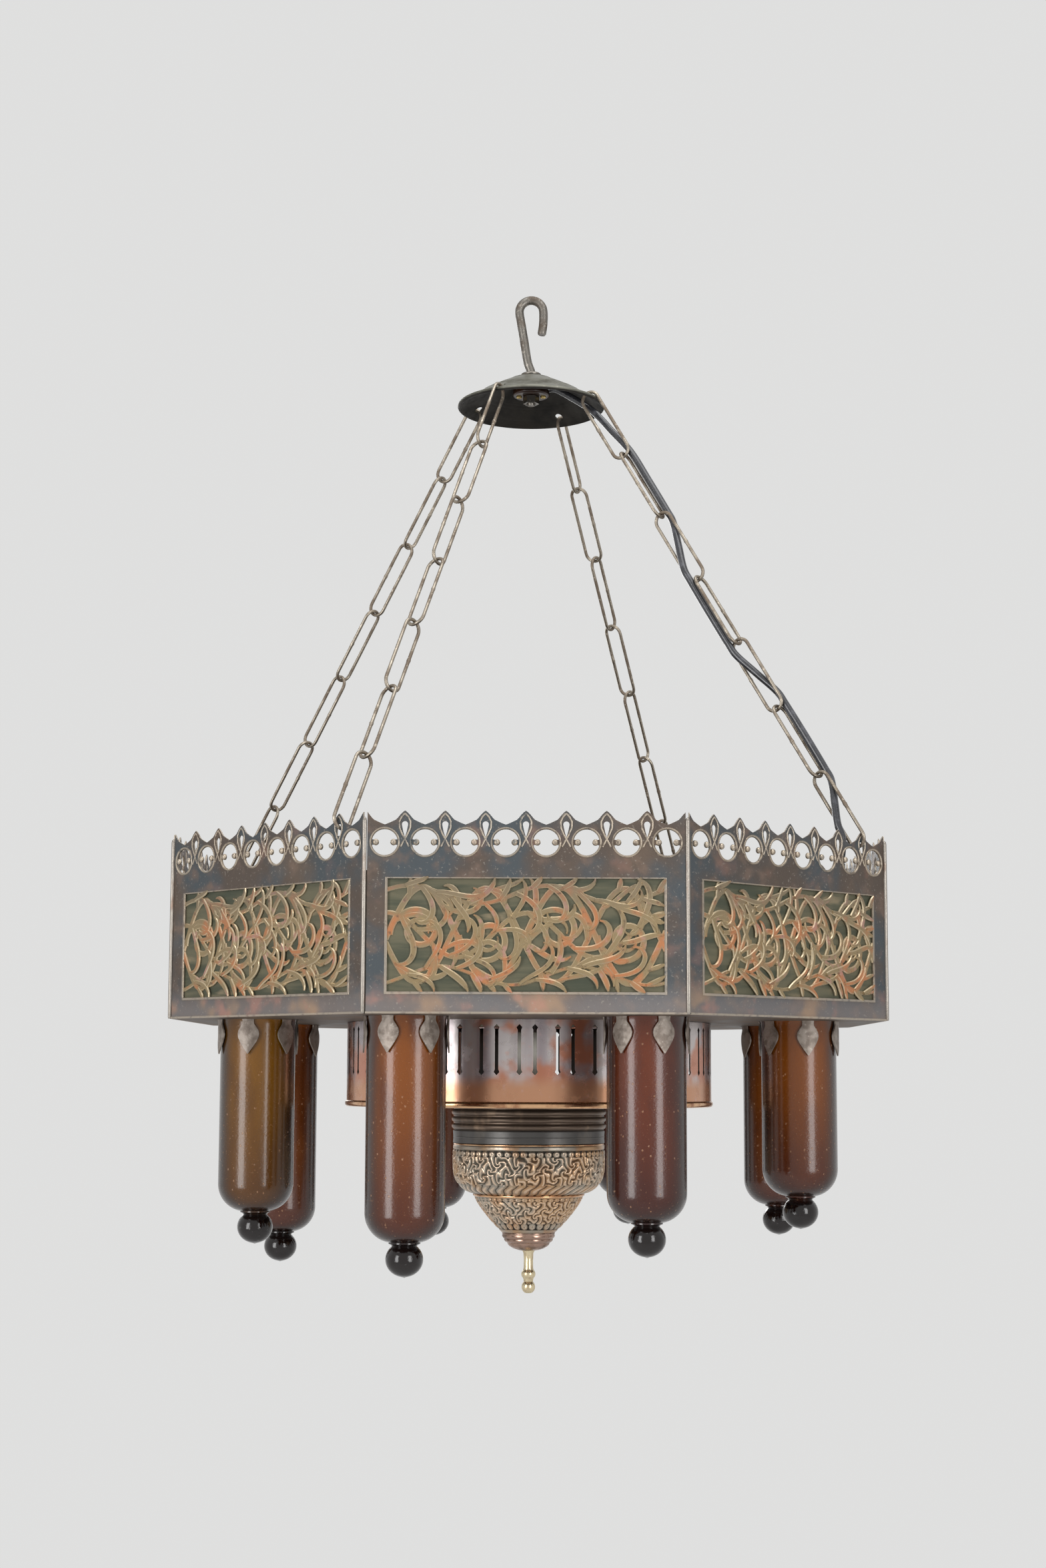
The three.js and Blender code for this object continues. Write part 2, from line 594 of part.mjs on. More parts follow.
// Pendant: a ringed moulding, an embossed bowl and cone, and a turned finial, all drawn up by one bolt.
function mouldingProfile() {
  const seat = -DRUM_DEPTH - GAP;
  const groove = BOSS_RADIUS - 2;
  const outer = [[groove, seat], [groove, -BOSS_TOP]];
  for (let i = 0; i < RINGS; i++) {
    const top = -BOSS_TOP - i * RING_HEIGHT;
    outer.push([BOSS_RADIUS, top - RING_HEIGHT / 2], [groove, top - RING_HEIGHT]);
  }
  const friezeTop = -BOSS_TOP - RINGS * RING_HEIGHT - 1;
  const foot = -BOWL_TOP + GAP;
  const waist = [FRIEZE_RADIUS - 0.7, (friezeTop + foot) / 2];
  outer.push([FRIEZE_RADIUS, friezeTop], waist, [FRIEZE_RADIUS, foot]);
  const inside = groove - PENDANT_WALL;
  return [...outer.reverse(), [inside, seat], [inside, foot], [FRIEZE_RADIUS, foot]];
}

function bowlOutline() {
  const points = [[BOWL_LIP, -BOWL_TOP]];
  for (const share of [0.15, 0.4, 0.62, 0.78, 0.9, 1]) {
    const curve = Math.pow(1 - Math.pow(Math.max(share - 0.3, 0) / 0.7, 3.5), 0.8);
    const radius = SEAM_RADIUS + (BOWL_RADIUS - SEAM_RADIUS) * curve;
    points.push([radius, -BOWL_TOP - share * (BOWL_BOTTOM - BOWL_TOP)]);
  }
  return points.reverse();
}

function coneOutline() {
  const points = [];
  for (const share of [0, 0.2, 0.45, 0.7, 1]) {
    const radius = SEAM_RADIUS + (CONE_FOOT - SEAM_RADIUS) * Math.pow(share, 1.3);
    points.push([radius, -(BOWL_BOTTOM + GAP) - share * (CONE_BOTTOM - BOWL_BOTTOM - GAP)]);
  }
  return points.reverse();
}

// A cup of the given outline, from its foot up, with a floor that the bolt passes through.
function cup(outline, segments) {
  const hole = BOLT_RADIUS + GAP + 0.2;
  const everyOther = outline.filter((_, i) => i % 2 === 0);
  const inner = everyOther.map(([radius, height]) => [radius - PENDANT_WALL, height]);
  inner[0][1] += PENDANT_WALL;
  inner.reverse();
  const foot = outline[0][1];
  return turned([[hole, foot], ...outline, ...inner, [hole, foot + PENDANT_WALL], [hole, foot]], segments);
}

add('boss_moulding', turned(mouldingProfile(), 16), 'dark');
add('pendant_bowl', cup(bowlOutline(), 16), 'gilt');
add('pendant_cone', cup(coneOutline(), 16), 'gilt');

const boltHead = 5;
const boltEnd = -CONE_BOTTOM - 12.5; // inside the finial's stepped base
const socket = BOLT_RADIUS + GAP;
const finialTop = -CONE_BOTTOM - GAP;
const finialSpindle = [
  [0, -FINIAL_BOTTOM], [4.4, -FINIAL_BOTTOM + 1.5], [6, -FINIAL_BOTTOM + 5.5], [4.2, -FINIAL_BOTTOM + 11],
  [5.7, -FINIAL_BOTTOM + 17.5], [3.5, -FINIAL_BOTTOM + 22], [3.5, finialTop - 17],
];
const finialBase = [
  [9.5, finialTop - 15.2], [17.4, finialTop - 11.5], [18.7, finialTop - 9], [21.5, finialTop - 7],
  [21.5, finialTop - 5], [CONE_FOOT - 0.7, finialTop - 3.5], [CONE_FOOT - 0.7, finialTop],
];
const finialSocket = [[socket, finialTop], [socket, boltEnd - GAP], [0, boltEnd - GAP]];
add('finial', turned([...finialSpindle, ...finialBase, ...finialSocket], 12), 'brass');

const drumFloorTop = -DRUM_DEPTH + SHEET;
add('centre_bolt', turned([
  [0, boltEnd], [BOLT_RADIUS, boltEnd], [BOLT_RADIUS, drumFloorTop + GAP], [7, drumFloorTop + GAP],
  [7, drumFloorTop + GAP + boltHead], [0, drumFloorTop + GAP + boltHead],
], 6), 'iron');

// Strap, lampholder and bulb: the strap lies across the opening and carries the lampholder in its middle.
const strapFoot = SHEET + GAP;
const skirtHole = SKIRT_RADIUS + GAP + 0.2;

function strapGeometry() {
  const half = FLOOR_OPENING + STRAP_OVERLAP;
  const wide = STRAP_WIDTH / 2;
  const eye = HOLDER_RADIUS + 4;
  const meet = Math.asin(wide / eye);
  const outline = new THREE.Shape();
  outline.moveTo(-half, -wide);
  outline.lineTo(-eye * Math.cos(meet), -wide);
  outline.absarc(0, 0, eye, Math.PI + meet, 2 * Math.PI - meet, false);
  outline.lineTo(half, -wide);
  outline.lineTo(half, wide);
  outline.lineTo(eye * Math.cos(meet), wide);
  outline.absarc(0, 0, eye, meet, Math.PI - meet, false);
  outline.lineTo(-half, wide);
  outline.closePath();
  outline.holes.push(new THREE.Path(ringPoints(skirtHole, 16)));
  const geometry = new THREE.ExtrudeGeometry(outline, {
    depth: STRAP_THICKNESS, bevelEnabled: false, curveSegments: 6,
  });
  return geometry.translate(0, 0, strapFoot);
}

add('holder_strap', strapGeometry(), 'iron');

const holderFoot = strapFoot + STRAP_THICKNESS + GAP;
const holderTop = holderFoot + HOLDER_HEIGHT;
const holderSegments = 12;
const bulbTop = holderFoot + 22;
add('lampholder', turned([
  [HOLDER_BORE, -SKIRT_DROP], [SKIRT_RADIUS, -SKIRT_DROP], [SKIRT_RADIUS, holderFoot],
  [HOLDER_RADIUS, holderFoot], [HOLDER_RADIUS, holderTop - 10], [HOLDER_RADIUS - 4, holderTop - 2],
  [HOLDER_RADIUS - 9, holderTop], [0, holderTop], [0, bulbTop + GAP], [HOLDER_BORE, bulbTop + GAP],
  [HOLDER_BORE, -SKIRT_DROP],
], holderSegments), 'bakelite');

const bulbMiddle = -36;
add('bulb', turned([
  [0, bulbMiddle - BULB_RADIUS], [13, bulbMiddle - 18.4], [20.5, bulbMiddle - 9.3],
  [BULB_RADIUS, bulbMiddle], [20.5, bulbMiddle + 9.3], [15, bulbMiddle + 19],
  [BULB_CAP - 1, bulbMiddle + 27], [BULB_CAP, bulbMiddle + 30], [BULB_CAP, bulbTop - 4], [4, bulbTop],
  [0, bulbTop],
], 12), 'bulb');

// Flex: from the block it passes under the rim, weaves through the right-hand chain from side to side,
// drops inside the band between two glasses, lies over the floor and rises to the lampholder's side.
const flexChain = chainLine(chainAngles[1]);
const weaveReach = 7.9; // from the chain's middle line, just clear of every link
const firstSide = 43.3; // degrees round the chain, midway between two neighbouring links
const sideDrift = 3.33; // degrees per link by which the chain's slow twist turns that direction

// Points in turn: distance along the chain in links, and share of the reach to the outer (+) or inner side.
const weave = [
  [1.0, 1], [1.5, 1.04], [2.0, 1], [2.15, 0.95], [2.5, 0], [2.85, -0.95], [3.0, -1], [3.5, -1.04],
  [4.0, -1], [4.15, -0.95], [4.5, 0], [4.85, 0.95], [5.0, 1], [5.5, 1.04], [6.0, 1], [6.14, 0.95],
  [6.42, 0], [6.68, -0.95],
];
const holderFlat = HOLDER_RADIUS * Math.cos(Math.PI / holderSegments);
// Compass angle in degrees, distance from the axis and height, from the block to the chain.
const leaveBlock = [
  [72, 17.5, 579], [72, 21, 579], [72, 26, 577.2], [72, 35, 571.8], [71.5, 46, 564.5], [70.5, 57, 556.5],
  [69, 68, 545.5], [67, 79, 533],
];
// Place along the right-hand chain's panel, distance out and height, from the crest to the lampholder.
const toHolder = [
  [84.5, 286.5, 152], [81, 287.5, 132], [76, 286, 108], [69, 280, 82], [58, 268, 55], [46, 250, 30],
  [34, 226, 13], [22, 196, 5.6], [12, 162, 5], [6, 128, 6.5], [2, 96, 12], [0, 66, 20.5], [0, 42, 26.5],
  [0, 30, 28], [0, holderFlat + GAP, 28],
];

function flexPoints() {
  const { top, down, beside, above, length } = flexChain;
  const pitch = (length - lap) / LINKS;
  const points = leaveBlock.map(([degrees, radius, height]) => {
    const point = outward(THREE.MathUtils.degToRad(degrees)).multiplyScalar(radius);
    return point.setZ(height);
  });
  for (const [links, share] of weave) {
    const side = THREE.MathUtils.degToRad(firstSide - sideDrift * (links - 1));
    const point = top.clone().addScaledVector(down, links * pitch);
    point.addScaledVector(above, share * weaveReach * Math.cos(side));
    points.push(point.addScaledVector(beside, share * weaveReach * Math.sin(side)));
  }
  for (const [along, out, height] of toHolder) {
    const point = outward(OCTANT).multiplyScalar(out).addScaledVector(outward(OCTANT + RIGHT), along);
    points.push(point.setZ(height));
  }
  return points;
}

add('flex', tube(flexPoints(), FLEX / 2, 8, 54), 'flex');

lamp.position.z = -HOOK_TO_BAND;
const assembly = new THREE.Group();
assembly.add(lamp);

export default assembly;
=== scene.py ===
# %% [markdown]
# # A hanging lamp of pierced copper, piece by piece
# The lamp exists already as plain solids at their real size. This script loads them as a fixed frame, gives
# each piece that shows its fine shape and its finish, and sets up a camera and plain studio light. Blender
# works in metres here, with the origin inside the bend of the lamp's hook and the front panel facing -Y.

# %% Load the frame
import math
import random

import bmesh
import bpy
import numpy as np
from mathutils import Matrix, Vector


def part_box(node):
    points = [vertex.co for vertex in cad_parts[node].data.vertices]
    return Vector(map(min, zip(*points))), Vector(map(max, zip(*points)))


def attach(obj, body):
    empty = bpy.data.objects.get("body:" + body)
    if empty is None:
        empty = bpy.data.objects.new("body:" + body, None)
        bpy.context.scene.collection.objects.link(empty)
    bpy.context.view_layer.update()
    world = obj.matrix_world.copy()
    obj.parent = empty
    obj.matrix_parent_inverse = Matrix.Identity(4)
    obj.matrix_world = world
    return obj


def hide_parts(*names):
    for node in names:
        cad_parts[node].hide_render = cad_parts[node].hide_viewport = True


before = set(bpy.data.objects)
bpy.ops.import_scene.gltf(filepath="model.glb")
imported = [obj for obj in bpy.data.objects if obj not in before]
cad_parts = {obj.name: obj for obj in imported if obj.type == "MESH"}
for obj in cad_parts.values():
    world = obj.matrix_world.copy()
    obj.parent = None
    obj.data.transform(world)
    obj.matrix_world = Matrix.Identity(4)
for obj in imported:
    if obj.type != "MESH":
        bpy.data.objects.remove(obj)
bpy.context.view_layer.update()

# %% [markdown]
# ## Measures
# A lamp maker measures up and down from the bottom edge of the band, in millimetres. These helpers turn
# such measures into points of the scene. A compass angle of 0 is the front and a quarter turn is the lamp's
# right. The last helper here puts an object into the scene.

# %% Points from a maker's measures
MM = 0.001
CIRCLE = 2 * math.pi
QUARTER = CIRCLE / 4
OCTANT = CIRCLE / 8
scene = bpy.context.scene
band_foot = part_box("panel_1")[0].z
band_flats = 600
band_height = 156
panel_distance = band_flats / 2
panel_side = band_flats * math.tan(OCTANT / 2)
sheet = 1.2


def point(x, y, height):
    return Vector((x * MM, y * MM, band_foot + height * MM))


def outward(angle):
    return Vector((math.sin(angle), -math.cos(angle), 0))


def shown_as(name, data):
    """A new object in the scene."""
    made = bpy.data.objects.new(name, data)
    scene.collection.objects.link(made)
    return made


print("band foot at", round(band_foot, 4), "m, each panel", round(panel_side, 1), "mm wide")

# %% [markdown]
# ## Camera
# The camera comes first, because every later choice is judged through it. A pinhole fitted to the corners
# of the octagon stands two metres in front of the lamp, a little below the band, and looks up by seven
# degrees. Its focal length is 3500 pixels on a picture 2350 pixels high, which is a lens of about 54 mm on
# a sensor 36 mm high.

# %% Camera
picture_width, picture_height = 1568, 2350
focal_pixels = 3500
sensor_height = 36
lens = bpy.data.cameras.new("camera")
lens.sensor_fit = "VERTICAL"
lens.sensor_height = sensor_height
lens.sensor_width = sensor_height * picture_width / picture_height
lens.lens = sensor_height * focal_pixels / picture_height
camera = shown_as("camera", lens)
camera.location = point(20, -2086, -49)
yaw = Matrix.Rotation(math.radians(0.72), 3, "Z")
pitch = Matrix.Rotation(math.radians(97.2), 3, "X")
roll = Matrix.Rotation(math.radians(0.2), 3, "Z")
camera.rotation_euler = (yaw @ pitch @ roll).to_euler()
scene.camera = camera
scene.view_settings.view_transform = "Standard"
print("lens", round(lens.lens, 1), "mm at", [round(v, 3) for v in camera.location])

# %% [markdown]
# ## Finishes from arithmetic
# A finish is a small tree of shader nodes. Wiring each node by hand hides the idea, so one class wraps the
# output of a node and gives it Python's arithmetic: `1 - rust` adds the Math node that does it. Every other
# kind of node comes from one method, which takes its type, its settings and what goes into its sockets.


# %% Arithmetic on sockets
class Value:
    """What one socket gives out, with the arithmetic that a finish needs."""

    def __init__(self, tree, socket):
        self.tree = tree
        self.socket = socket

    def maths(self, operation, *terms):
        settings = {"operation": operation}
        return self.tree.node("ShaderNodeMath", settings, dict(enumerate(terms)))

    def __add__(self, other):
        return self.maths("ADD", self, other)

    def __radd__(self, other):
        return self.maths("ADD", other, self)

    def __sub__(self, other):
        return self.maths("SUBTRACT", self, other)

    def __rsub__(self, other):
        return self.maths("SUBTRACT", other, self)

    def __mul__(self, other):
        return self.maths("MULTIPLY", self, other)

    def __rmul__(self, other):
        return self.maths("MULTIPLY", other, self)

    def between(self, low, high):
        """0 up to low, 1 from high on, and a smooth climb from one to the other."""
        settings = {"interpolation_type": "SMOOTHSTEP"}
        return self.tree.node("ShaderNodeMapRange", settings, {0: self, 1: low, 2: high})


class Tree:
    """The nodes of one material, or of the world."""

    def __init__(self, owner):
        owner.use_nodes = True
        self.nodes = owner.node_tree.nodes
        self.links = owner.node_tree.links
        self.nodes.clear()

    def node(self, kind, settings=None, sockets=None, output=0):
        made = self.nodes.new(kind)
        for name, value in (settings or {}).items():
            setattr(made, name, value)
        for key, value in (sockets or {}).items():
            if isinstance(value, Value):
                self.links.new(value.socket, made.inputs[key])
            else:
                made.inputs[key].default_value = value
        return Value(self, made.outputs[output]) if made.outputs else None

    def mix(self, share, first, second):
        """The first colour where share is 0 and the second where it is 1; a colour may be six digits."""
        first, second = [tone(c) if isinstance(c, str) else c for c in (first, second)]
        return self.node("ShaderNodeMix", {"data_type": "RGBA"}, {0: share, 6: first, 7: second}, 2)

    def place(self, stretch=(1, 1, 1)):
        """A point's place on its own piece, stretched by three numbers."""
        here = self.node("ShaderNodeTexCoord", output=3)
        return self.node("ShaderNodeVectorMath", {"operation": "MULTIPLY"}, {0: here, 1: stretch})

    def cloud(self, size, detail=3, stretch=(1, 1, 1)):
        """Soft noise with lumps of this many millimetres, different on each piece with a seed of its own."""
        seed = self.node("ShaderNodeAttribute", {"attribute_name": "seed"}, output=2)
        sockets = {"Vector": self.place(stretch), "W": seed, "Scale": 1 / (size * MM), "Detail": detail}
        return self.node("ShaderNodeTexNoise", {"noise_dimensions": "4D"}, sockets)

    def grains(self, size, stretch=(1, 1, 1)):
        """How far a point is from the middle of its grain, 0 at the middle."""
        sockets = {"Vector": self.place(stretch), "Scale": 1 / (size * MM)}
        return self.node("ShaderNodeTexVoronoi", {}, sockets)

    def axis(self, letter, output=3):
        """One number of a point's place on its own piece or, where the output is 1, of its normal."""
        here = self.node("ShaderNodeTexCoord", output=output)
        return self.node("ShaderNodeSeparateXYZ", {}, {0: here}, "XYZ".index(letter))

    def marked(self, name):
        """A number that the mesh carries under this name."""
        return self.node("ShaderNodeAttribute", {"attribute_name": name}, output=2)


def tone(code):
    """The colour that a paint chart writes as six digits, as Blender's linear numbers."""
    parts = [int(code[i:i + 2], 16) / 255 for i in (0, 2, 4)]
    linear = [c / 12.92 if c <= 0.04045 else ((c + 0.055) / 1.055) ** 2.4 for c in parts]
    return (*linear, 1.0)


def skin(colour, roughness, metallic=0.0, bumps=None, depth=0.3):
    """What a recipe gives: its surface's varying sockets, and its bumps with their depth in millimetres."""
    return {"Base Color": colour, "Roughness": roughness, "Metallic": metallic}, bumps, depth * MM


def finish(name, recipe, **fixed):
    """A material: recipe gives the varying sockets of its surface, and fixed gives the even ones."""
    material = bpy.data.materials.new(name)
    tree = Tree(material)
    sockets, bumps, depth = recipe(tree)
    sockets.update({key.replace("_", " "): value for key, value in fixed.items()})
    if bumps is not None:
        bump = {"Strength": 0.6, "Distance": depth, "Height": bumps}
        sockets["Normal"] = tree.node("ShaderNodeBump", {}, bump)
    surface = tree.node("ShaderNodeBsdfPrincipled", {}, sockets)
    tree.node("ShaderNodeOutputMaterial", {}, {"Surface": surface})
    return material


print("half of a middle grey is", [round(v, 3) for v in tone("808080")[:3]])

# %% [markdown]
# ## Stage and light
# A pale floor lies well under the hanging lamp, and the world round it is as pale, also in reflections and
# through glass. The light on the lamp is a dim even sky with two tall soft boxes, a broad one overhead and
# a weak one behind. Tall boxes are what draws the long upright highlights on the glass tubes.

# %% Floor, world and lamps
backdrop = (0.74, 0.74, 0.735, 1)
floor_radius = 14
floor_corners = 96
floor_level = -1.62


def seen_or_lit(tree, lit):
    """The backdrop for rays from the camera, a reflection or glass, and a dimmer colour as a light."""
    rays = [tree.node("ShaderNodeLightPath", output=name) for name in
            ("Is Camera Ray", "Is Glossy Ray", "Is Transmission Ray")]
    return tree.mix(rays[0] + rays[1] + rays[2], lit, backdrop)


def fading_floor():
    """A matt floor under the lamp that turns into the backdrop further out, so that no horizon shows."""
    material = bpy.data.materials.new("pale_floor")
    tree = Tree(material)
    speckle = tree.cloud(400, 4)
    colour = tree.mix(speckle, (0.76, 0.76, 0.75, 1), (0.80, 0.80, 0.79, 1))
    matt = tree.node("ShaderNodeBsdfDiffuse", {}, {"Color": colour})
    glow = tree.node("ShaderNodeEmission", {}, {"Color": seen_or_lit(tree, (0.2, 0.2, 0.2, 1))})
    here = tree.node("ShaderNodeTexCoord", output=3)
    far = tree.node("ShaderNodeVectorMath", {"operation": "LENGTH"}, {0: here}, 1)
    surface = tree.node("ShaderNodeMixShader", {}, {0: far.between(0.5, 2.4), 1: matt, 2: glow})
    tree.node("ShaderNodeOutputMaterial", {}, {"Surface": surface})
    return material


floor_mesh = bpy.data.meshes.new("floor")
corner_angles = np.linspace(0, CIRCLE, floor_corners, endpoint=False)
rim = [Vector((math.cos(a), math.sin(a), 0)) * floor_radius for a in corner_angles]
floor_mesh.from_pydata(rim, [], [range(floor_corners)])
floor_mesh.materials.append(fading_floor())
studio_floor = shown_as("studio_floor", floor_mesh)
studio_floor.location.z = floor_level

world = bpy.data.worlds.new("studio")
scene.world = world
sky = Tree(world)
shown = seen_or_lit(sky, (0.42, 0.42, 0.43, 1))
sky.node("ShaderNodeOutputWorld", {}, {"Surface": sky.node("ShaderNodeBackground", {}, {"Color": shown})})


def soft_box(name, place, size, power):
    """A rectangular lamp that faces the middle of the hanging lamp."""
    light = bpy.data.lights.new(name, "AREA")
    light.shape = "RECTANGLE"
    light.size, light.size_y = size
    light.energy = power
    lamp = shown_as(name, light)
    lamp.location = place
    aim = Vector((0, 0, band_foot)) - lamp.location
    lamp.rotation_euler = aim.to_track_quat("-Z", "Y").to_euler()


soft_box("left_box", Vector((-1.7, -1.9, -0.5)), (0.8, 1.8), 29)
soft_box("right_box", Vector((1.5, -2.2, -0.35)), (0.8, 1.8), 27)
soft_box("top_box", Vector((0.2, -0.6, 1.3)), (1.6, 1.6), 22)
soft_box("back_box", Vector((-0.6, 2.0, 0.1)), (1.2, 1.2), 14)

# %% [markdown]
# ## Ways to make a mesh
# Four ways make nearly every piece here. A profile turned about an axis gives what a lathe or a spinning
# chuck gives. A section swept along a line gives wire and cable. A filled outline with holes, given a
# thickness and a small bevel, gives sawn sheet, and the same outline can be rolled round a cylinder.


# %% Turned, swept and sawn meshes
def smoothed(mesh, sharp=35):
    """Shades a mesh smooth, apart from edges that turn by more than this angle in degrees."""
    mesh.polygons.foreach_set("use_smooth", [True] * len(mesh.polygons))
    mesh.set_sharp_from_angle(angle=math.radians(sharp))
    return mesh


def to_mesh(name, points, faces, sharp=35):
    mesh = bpy.data.meshes.new(name)
    mesh.from_pydata([tuple(p) for p in points], [], faces)
    return smoothed(mesh, sharp)


def bands(rings):
    """The faces between each closed ring of point numbers and the next one."""
    faces = []
    for low, high in zip(rings, rings[1:]):
        for i in range(len(low)):
            j = (i + 1) % len(low)
            faces.append([low[i], low[j], high[j], high[i]])
    return faces


def in_rings(points, around):
    """The numbers of the points, cut into rings of this many."""
    return [list(range(start, start + around)) for start in range(0, len(points), around)]


def turned(name, profile, segments=96, sharp=35):
    """Turns [radius, height] pairs in mm about the lamp's axis, up the outside and down the inside."""
    points, rings = [], []
    for radius, height in profile:
        if radius == 0:
            rings.append([len(points)] * segments)
            points.append((0, 0, height * MM))
            continue
        rings.append(list(range(len(points), len(points) + segments)))
        for i in range(segments):
            angle = CIRCLE * i / segments
            points.append((radius * MM * math.cos(angle), radius * MM * math.sin(angle), height * MM))
    faces = [list(dict.fromkeys(corners)) for corners in bands(rings)]
    return to_mesh(name, points, [f for f in faces if len(f) > 2], sharp)


def arc(x, y, radius, start, end, steps=8):
    """Points of a circular arc as [x, y] pairs, with its angles in degrees."""
    turns = np.radians(np.linspace(start, end, steps + 1))
    return [[x + radius * math.cos(t), y + radius * math.sin(t)] for t in turns]


def smooth_line(points, steps=8):
    """A centripetal curve through the points, the way a bent wire runs."""
    points = [np.array(p, float) for p in points]
    points = [2 * points[0] - points[1], *points, 2 * points[-1] - points[-2]]

    def partway(p, q, start, end, t):
        return ((end - t) * p + (t - start) * q) / (end - start)

    line = []
    for a, b, c, d in zip(points, points[1:], points[2:], points[3:]):
        spans = [np.linalg.norm(q - p) ** 0.5 for p, q in ((a, b), (b, c), (c, d))]
        ka, kb, kc, kd = np.cumsum([0, *spans])
        for t in np.linspace(kb, kc, steps, endpoint=False):
            ab = partway(a, b, ka, kb, t)
            bc = partway(b, c, kb, kc, t)
            cd = partway(c, d, kc, kd, t)
            line.append(partway(partway(ab, bc, ka, kc, t), partway(bc, cd, kb, kd, t), kb, kc, t))
    line.append(points[-2])
    return line


def swept(name, line, radius, sides=12, closed=False):
    """A wire along a line of points in metres; radius is a number or one for each point, also in metres."""
    line = [Vector(p) for p in line]
    count = len(line)
    radii = [radius] * count if isinstance(radius, float) else list(radius)
    ahead = [(line[(i + 1) % count] - line[i - 1]).normalized() for i in range(count)]
    if not closed:
        ahead[0] = (line[1] - line[0]).normalized()
        ahead[-1] = (line[-1] - line[-2]).normalized()
    side = ahead[0].orthogonal().normalized()
    points = []
    for here, along, thick in zip(line, ahead, radii):
        side = (side - along * side.dot(along)).normalized()
        over = along.cross(side)
        for k in range(sides):
            turn = CIRCLE * k / sides
            points.append(here + (side * math.cos(turn) + over * math.sin(turn)) * thick)
    rings = in_rings(points, sides)
    ends = [rings[0][::-1], rings[-1]]
    if closed:
        twist = min(range(sides), key=lambda k: (points[-sides] - points[k]).length)
        rings.append([(k + twist) % sides for k in range(sides)])
        ends = []
    return to_mesh(name, points, bands(rings) + ends, 50)


def rectangle(x0, y0, x1, y1):
    return [[x0, y0], [x1, y0], [x1, y1], [x0, y1]]


def mirrored(half):
    """A closed outline from its right half, whose ends lie on the middle line."""
    return [*half, *([-x, y] for x, y in half[-2:0:-1])]


def set_at(outline, x, y=0):
    return [[x + across, y + up] for across, up in outline]


def sawn(name, outlines, thickness, bevel=0.0):
    """Sheet sawn to closed outlines in mm, holes among them; it lies in XY with its middle at height 0."""
    drawing = bpy.data.curves.new(name, "CURVE")
    drawing.dimensions = "2D"
    drawing.fill_mode = "BOTH"
    for outline in outlines:
        spline = drawing.splines.new("POLY")
        spline.points.add(len(outline) - 1)
        for place, (x, y) in zip(spline.points, outline):
            place.co = (x * MM, y * MM, 0, 1)
        spline.use_cyclic_u = True
    drawing.extrude = max(thickness / 2 - bevel, 0) * MM
    drawing.bevel_depth = bevel * MM
    drawing.bevel_resolution = 1
    drawing.offset = -bevel * MM
    holder = bpy.data.objects.new(name, drawing)
    mesh = bpy.data.meshes.new_from_object(holder)
    bpy.data.objects.remove(holder)
    bpy.data.curves.remove(drawing)
    mesh.name = name
    mesh.polygons.foreach_set("use_smooth", [False] * len(mesh.polygons))
    return mesh


def moved(mesh, matrix):
    mesh.transform(matrix)
    return mesh


def hung(mesh, x=0, y=0, height=0):
    """Moves a mesh to a place that is given by a maker's measures."""
    return moved(mesh, Matrix.Translation(point(x, y, height)))


def joined(name, meshes, sharp=35):
    """One mesh of several, which are used up."""
    whole = bmesh.new()
    for mesh in meshes:
        whole.from_mesh(mesh)
        bpy.data.meshes.remove(mesh)
    made = bpy.data.meshes.new(name)
    whole.to_mesh(made)
    whole.free()
    return smoothed(made, sharp)


def carry(mesh, name, values):
    """Stores a number for each point of a mesh, or one for all of them, for the finishes to read."""
    numbers = [float(values)] * len(mesh.vertices) if np.isscalar(values) else list(map(float, values))
    mesh.attributes.new(name, "FLOAT", "POINT").data.foreach_set("value", numbers)
    return mesh


def piece(name, mesh, material, stands_for=(), body="lamp", place=None):
    """Puts a mesh on the lamp: it wears a finish, rides on a body and stands for a plain solid."""
    for one in material if isinstance(material, list) else [material]:
        mesh.materials.append(one)
    made = shown_as(name, mesh)
    if place is not None:
        made.matrix_world = place
    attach(made, body)
    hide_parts(*([stands_for] if isinstance(stands_for, str) else stands_for))


def repainted(name, material):
    """Gives a plain solid of the frame a finish, where its shape is right already."""
    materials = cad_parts[name].data.materials
    materials.clear()
    materials.append(material)


# %% [markdown]
# ## Iron for the hook, the chains and the hidden ironwork
# The wire is old brown-grey iron. It is a metal with a dull skin, so the colour wanders between grey and
# brown, the skin is rougher where it is brown, and a fine bump keeps the highlight from running like
# chrome.


# %% Iron finishes
def iron_recipe(grey, brown, pale):
    def recipe(tree):
        rust = tree.cloud(14, 4).between(0.42, 0.62)
        rubbed = tree.cloud(3, 3).between(0.56, 0.7)
        colour = tree.mix(rubbed * 0.7, tree.mix(rust, grey, brown), pale)
        return skin(colour, 0.38 + rust * 0.25, 1 - rust * 0.45, tree.cloud(1.6, 4), 0.2)
    return recipe


hook_iron = finish("hook_iron", iron_recipe("77736d", "5f554b", "a39c92"))
chain_iron = finish("chain_iron", iron_recipe("9a9184", "7a6d5f", "c6bbab"))
inner_iron = finish("inner_iron", iron_recipe("5c5853", "4a4038", "7d776f"))
print("iron finishes:", hook_iron.name, chain_iron.name, inner_iron.name)

# %% [markdown]
# ## Hook
# The lamp hangs on one length of 8 mm wire, bent by hand over the top and cut square at its open end. A
# curve is drawn through a few measured points, then a round section is swept along it. Both ends get a
# narrow chamfer.

# %% Hook and washer
bend_radius = 11
bend_height = 654
stem_top = 605
hook_wire = 8
lean = math.radians(9.4)


